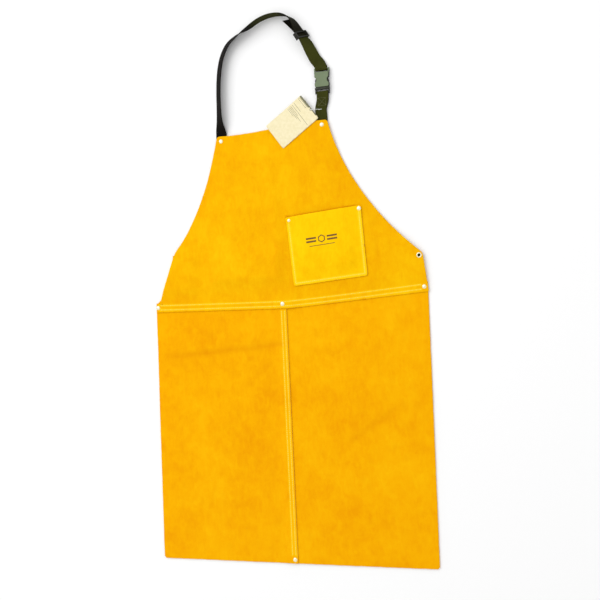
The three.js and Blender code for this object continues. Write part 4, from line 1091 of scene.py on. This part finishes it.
anchorStrap = {  # from the right neck rivet: across, up, and the lift of its upper and lower ply
    "route": [(0, -9, 1.8, 0), (-0.5, 17.5, 1.8, 0), (-1, 33.5, 2.2, 0), (3.5, 51.3, 4.2, 0),
              (4.5, 67.3, 5.75, 0.05)],
    "steps": 60, "tackMiddle": 2.5 * mm, "tackFrom": 40 * mm, "tackTo": 56 * mm, "tackHalf": 8.5 * mm,
    "tackPitch": 2.6 * mm, "tackStitch": 2.2 * mm,
}


def makeAnchorStrap():
    origin = centreOf("neck_rivet_right_cap")
    route, steps = anchorStrap["route"], anchorStrap["steps"]
    top = webStations(origin, [(x, y, 0, rise) for x, y, rise, _ in route], steps)
    low = webStations(origin, [(x, y, 0, rise) for x, y, _, rise in route], steps)
    x, y = route[-1][:2]
    centre = Vector((origin.x + x * mm, origin.y + y * mm, bar["height"]))
    turn = barTurn(centre, Vector((1, 0, 0)), Vector((0, 1, 0)))
    bm = sweepWebbing(top[:-1] + turn + doubledBack(low[:-1]))
    surface = BVHTree.FromBMesh(bm)
    finishPiece(bm, "webbing_anchor_strap", [oliveWebbing], "webbing", "apron", "neck_anchor_strap")
    bm = bmesh.new()  # the box of stitches with its cross, below the buckle
    middle, half = origin.x + anchorStrap["tackMiddle"], anchorStrap["tackHalf"]
    low, high = origin.y + anchorStrap["tackFrom"], origin.y + anchorStrap["tackTo"]
    corners = [Vector((middle - half, low, 0)), Vector((middle + half, low, 0))]
    corners += [Vector((middle + half, high, 0)), Vector((middle - half, high, 0))]
    lines = [(0, 1), (1, 2), (2, 3), (3, 0), (0, 2), (1, 3)]
    for a, b in lines:
        sewRow(bm, [corners[a], corners[b]], surface, anchorStrap["tackPitch"], anchorStrap["tackStitch"])
    shadeSmooth(bm, 180)
    finishPiece(bm, "thread_box_tack", [oliveThread], "thread", "apron", "neck_anchor_tack")


belt = {  # in millimetres: heights of the webbing's middle, hem and fold, and places from the buckle's mouth
    "low": 0.95, "flapLow": 3.7, "sliderLow": 3.85, "hem": 26, "fold": 0.9,
    "maleBar": 11, "femaleBar": -38, "slider": -68,
    "blendFrom": 50 * mm, "blendTo": 130 * mm,
}


def roundBar(x, z, radius, outward, start, end):
    angles = [math.radians(start + (end - start) * i / 12) for i in range(13)]
    return [(x + outward * radius * math.cos(a), z + radius * math.sin(a)) for a in angles]


def flatWebbing(points, y):  # points of the webbing's middle, across and up, in millimetres
    stations = []
    for i, (x, z) in enumerate(points):
        (x0, z0), (x1, z1) = points[max(0, i - 1)], points[min(len(points) - 1, i + 1)]
        along = Vector((x1 - x0, 0, z1 - z0)).normalized()
        stations.append((Vector((x * mm, y, z * mm)), Vector((0, -1, 0)), Vector((-along.z, 0, along.x))))
    return sweepWebbing(stations)


def makeBelt():
    eyeletRight, eyeletLeft = centreOf("hip_eyelet_right"), centreOf("hip_eyelet_left")
    y = centreOf("belt_buckle_female").y
    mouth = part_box("belt_buckle_female")[1].x / mm + 0.3
    barZ, wrap, rise = bar["height"] / mm, bar["wrap"] / mm, webbing["plyRise"] / mm
    low, hem, fold = belt["low"], belt["hem"], belt["fold"]
    male, female, slider = [mouth + belt[name] for name in ("maleBar", "femaleBar", "slider")]
    end = eyeletRight.x / mm + 1
    right = [(male + 30, low), (male + 12, low), *roundBar(male, barZ, wrap, -1, -90, 90),
             (male + 18, low + rise + 0.8), (male + 30, low + rise), (male + 46, low), (end - hem - 14, low),
             (end - hem + 2, low + rise), *roundBar(end, low + fold, fold, 1, 90, -90), (end - hem + 4, low)]
    bm = flatWebbing(right, y)
    finishPiece(bm, "webbing_belt_right", [oliveWebbing], "webbing", "apron", "belt_strap_right")
    foot, flap, sliderLow = eyeletLeft.x / mm - 9, belt["flapLow"], belt["sliderLow"]
    left = [(foot + hem, flap), *roundBar(foot, flap + fold, fold, -1, -90, 90),
            (foot + hem + 2, flap + rise), (foot + hem + 16, flap), (foot + hem + 30, low), (slider - 40, low),
            (slider - 18, sliderLow + rise), (slider + 16, sliderLow + rise), (female - 8, barZ + wrap),
            *roundBar(female, barZ, wrap, 1, 90, -90), (female - 8, barZ - wrap + 0.3),
            (slider + 16, sliderLow), (slider - 18, sliderLow), (slider - 26, sliderLow - 1.4)]
    bm = flatWebbing(left, y)
    piece = finishPiece(bm, "webbing_belt_left", [oliveWebbing], "webbing", None, "belt_strap_left")
    start, stop = eyeletLeft.x + belt["blendFrom"], eyeletLeft.x + belt["blendTo"]
    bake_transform(piece, "apron", "belt_female", start=(start, y, 0), end=(stop, y, 0))


makeNeckStrap()
makeAnchorStrap()
makeBelt()
print("webbing made")


# Moulded buckles and sliders: the solid's own shape, its edges rounded and its face dressed

mould = {
    "round": 0.35 * mm, "flat": math.radians(3), "sharp": math.radians(40),
    "panelInset": 2.0 * mm, "panelDepth": 0.35 * mm,
}


def makeMoulded(node, name, material, slotName, body, dressFace=False):
    bm = mergedCopy(node)
    bmesh.ops.dissolve_limit(bm, angle_limit=mould["flat"], verts=bm.verts, edges=bm.edges)
    if dressFace:
        level = [f for f in bm.faces if f.normal.z > 0.99]
        top = max(level, key=lambda f: f.calc_area() + f.calc_center_median().z)
        bmesh.ops.inset_region(bm, faces=[top], thickness=mould["panelInset"], depth=-mould["panelDepth"],
                               use_even_offset=True)
    sharp = [e for e in bm.edges if len(e.link_faces) == 2 and e.calc_face_angle(0) > mould["sharp"]]
    bmesh.ops.bevel(bm, geom=sharp, offset=mould["round"], offset_type="OFFSET", affect="EDGES", segments=2,
                    profile=0.5, clamp_overlap=True, material=-1)
    bm.normal_update()
    # painted highlight mask: how squarely each vertex faces up
    paintedGlare = bm.verts.layers.float.new("paintedGlare")
    for vert in bm.verts:
        vert[paintedGlare] = smoothStep(0.75, 0.98, vert.normal.z)
    shadeSmooth(bm, 32)
    finishPiece(bm, name, [material], slotName, body, node)


def makeHardware():
    for place in ("neck", "belt"):
        node = place + "_buckle_"
        body = place + "_female"
        makeMoulded(node + "female", place + "_socket", bucklePlastic, "buckle_plastic", body, True)
        makeMoulded(node + "male", place + "_plug_frame", latchPlastic, "buckle_plastic", "apron")
        for side in ("left", "right"):
            body = f"{place}_latch_{side}"
            makeMoulded(node + "latch_" + side, f"{place}_prong_{side}", latchPlastic, "buckle_plastic", body)
        makeMoulded(place + "_slider", place + "_tri_bar", sliderPlastic, "slider_plastic", place + "_slider")


makeHardware()
print("buckles and sliders moulded")


# Hang tag, its tie, and the plain stamp on the pocket

tag = {"grid": 4 * mm, "bow": 1.6 * mm, "length": 99 * mm, "width": 63 * mm, "thick": 0.5 * mm}


def makeTag():
    low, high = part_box("hang_tag")
    centre = (low + high) / 2
    bm, solid = upperFace("hang_tag", tag["grid"])
    along = Vector((math.cos(tagTurn), math.sin(tagTurn), 0))
    for vert in bm.verts:  # two of its corners lift a little
        flat = Vector((vert.co.x, vert.co.y, centre.z))
        u = (flat - centre).dot(along) / (tag["length"] / 2)
        v = (flat - centre).dot(Vector((-along.y, along.x, 0))) / (tag["width"] / 2)
        vert.co.z = high.z + tag["bow"] * max(0.0, u - 0.1) * max(0.0, v) + 0.3 * mm * u * u * max(0, v)
        vert.co.z += tag["bow"] * 0.6 * max(0.0, -u - 0.35) * max(0.0, v + 0.4)
    for face in bm.faces:
        face.smooth = True
    piece = finishPiece(bm, "card_tag", [tagCard], "tag_card", "tag", "hang_tag")
    wall = piece.modifiers.new("thickness", "SOLIDIFY")
    wall.thickness = tag["thick"]
    wall.offset = -1


tie = {
    "radius": 0.45 * mm, "steps": 40, "ends": 2.6 * mm, "barRadius": 0.5 * mm, "barHeight": 4.4 * mm,
    "barLength": 7 * mm, "footLength": 5 * mm,
}


def makeTie():
    low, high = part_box("tag_tie")
    hole = Vector((low.x + tie["ends"], low.y + 4 * mm, 0))
    barX = high.x - tie["barRadius"]
    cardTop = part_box("hang_tag")[1].z
    peak = cardTop + 1.6 * mm
    barZ = tie["barHeight"]
    foot = Vector((hole.x, hole.y, cardTop - 1.2 * mm))
    points = [foot, Vector((hole.x, hole.y, cardTop + 0.6 * mm)), Vector((hole.x + 3 * mm, hole.y, peak)),
              Vector(((hole.x + barX) / 2 + 2 * mm, hole.y - 0.4 * mm, peak + 0.2 * mm)),
              Vector((barX - 2 * mm, hole.y - 0.9 * mm, peak - 0.9 * mm)),
              Vector((barX, hole.y - 1 * mm, barZ))]
    stations = []
    for i in range(tie["steps"] + 1):
        share = i / tie["steps"]
        before, after = splineAt(points, max(0, share - 1e-3)), splineAt(points, min(1, share + 1e-3))
        heading = (after - before).normalized()
        across = Vector((0, 1, 0)) - heading * heading.y
        stations.append((splineAt(points, share), across.normalized(), heading.cross(across).normalized()))
    section = [(math.cos(k * math.pi / 5), math.sin(k * math.pi / 5)) for k in range(10)]
    bm = sweep(stations, section, tie["radius"], tie["radius"])
    top = Vector((barX, hole.y - 0.5 * mm, barZ))
    turn = Matrix.Rotation(math.pi / 2, 4, "Y")
    for place, length in ((top, tie["barLength"]), (foot, tie["footLength"])):
        size = Matrix.Diagonal((tie["barRadius"], tie["barRadius"], length, 1))
        at = Matrix.Translation(place) @ turn @ size
        bmesh.ops.create_cone(bm, cap_ends=True, segments=10, radius1=1, radius2=1, depth=1, matrix=at)
    shadeSmooth(bm, 50)
    finishPiece(bm, "filament_tie", [clearFilament], "tie_filament", "apron", "tag_tie")


stamp = {
    "place": (-9 * mm, -50 * mm), "hexagon": 8.5 * mm, "line": 2 * mm, "bar": (22 * mm, 3.6 * mm),
    "barPlace": (23 * mm, 3.4 * mm), "rule": (56 * mm, 1.3 * mm), "rulePlace": (0, -13 * mm),
}


def makeStamp():  # a plain hexagon between two pairs of bars, over a thin rule
    across, up = stamp["place"]
    middle = (pocketLeft + pocketRight) / 2 + acrossPocket * across + upPocket * up
    bm = bmesh.new()
    bmesh.ops.create_circle(bm, cap_ends=True, segments=6, radius=stamp["hexagon"])
    inner = bm.faces[:]
    bmesh.ops.inset_region(bm, faces=inner, thickness=stamp["line"], use_even_offset=True, use_boundary=True)
    bmesh.ops.delete(bm, geom=inner, context="FACES_ONLY")
    barX, barY = stamp["barPlace"]
    shapes = [(stamp["bar"], (side * barX, row * barY)) for side in (-1, 1) for row in (-1, 1)]
    shapes.append((stamp["rule"], stamp["rulePlace"]))
    for (wide, tall), (x, y) in shapes:
        size = Matrix.Translation((x, y, 0)) @ Matrix.Diagonal((wide / 2, tall / 2, 1, 1))
        bmesh.ops.create_grid(bm, x_segments=10, y_segments=2, size=1, matrix=size)
    turn = Matrix.Rotation(math.atan2(acrossPocket.y, acrossPocket.x), 3, "Z")
    bmesh.ops.rotate(bm, verts=bm.verts, cent=(0, 0, 0), matrix=turn)
    bmesh.ops.translate(bm, verts=bm.verts, vec=(middle.x, middle.y, 0))
    for vert in bm.verts:
        vert.co.z = dropOn(surfaces["chest_pocket"], vert.co.x, vert.co.y)[0].z + 0.12 * mm
    piece = finishPiece(bm, "ink_stamp", [brownInk], "suede_pocket", "apron")
    film = piece.modifiers.new("film", "SOLIDIFY")
    film.thickness = 0.1 * mm
    film.offset = -1


makeTag()
makeTie()
makeStamp()
print("tag and stamp made")
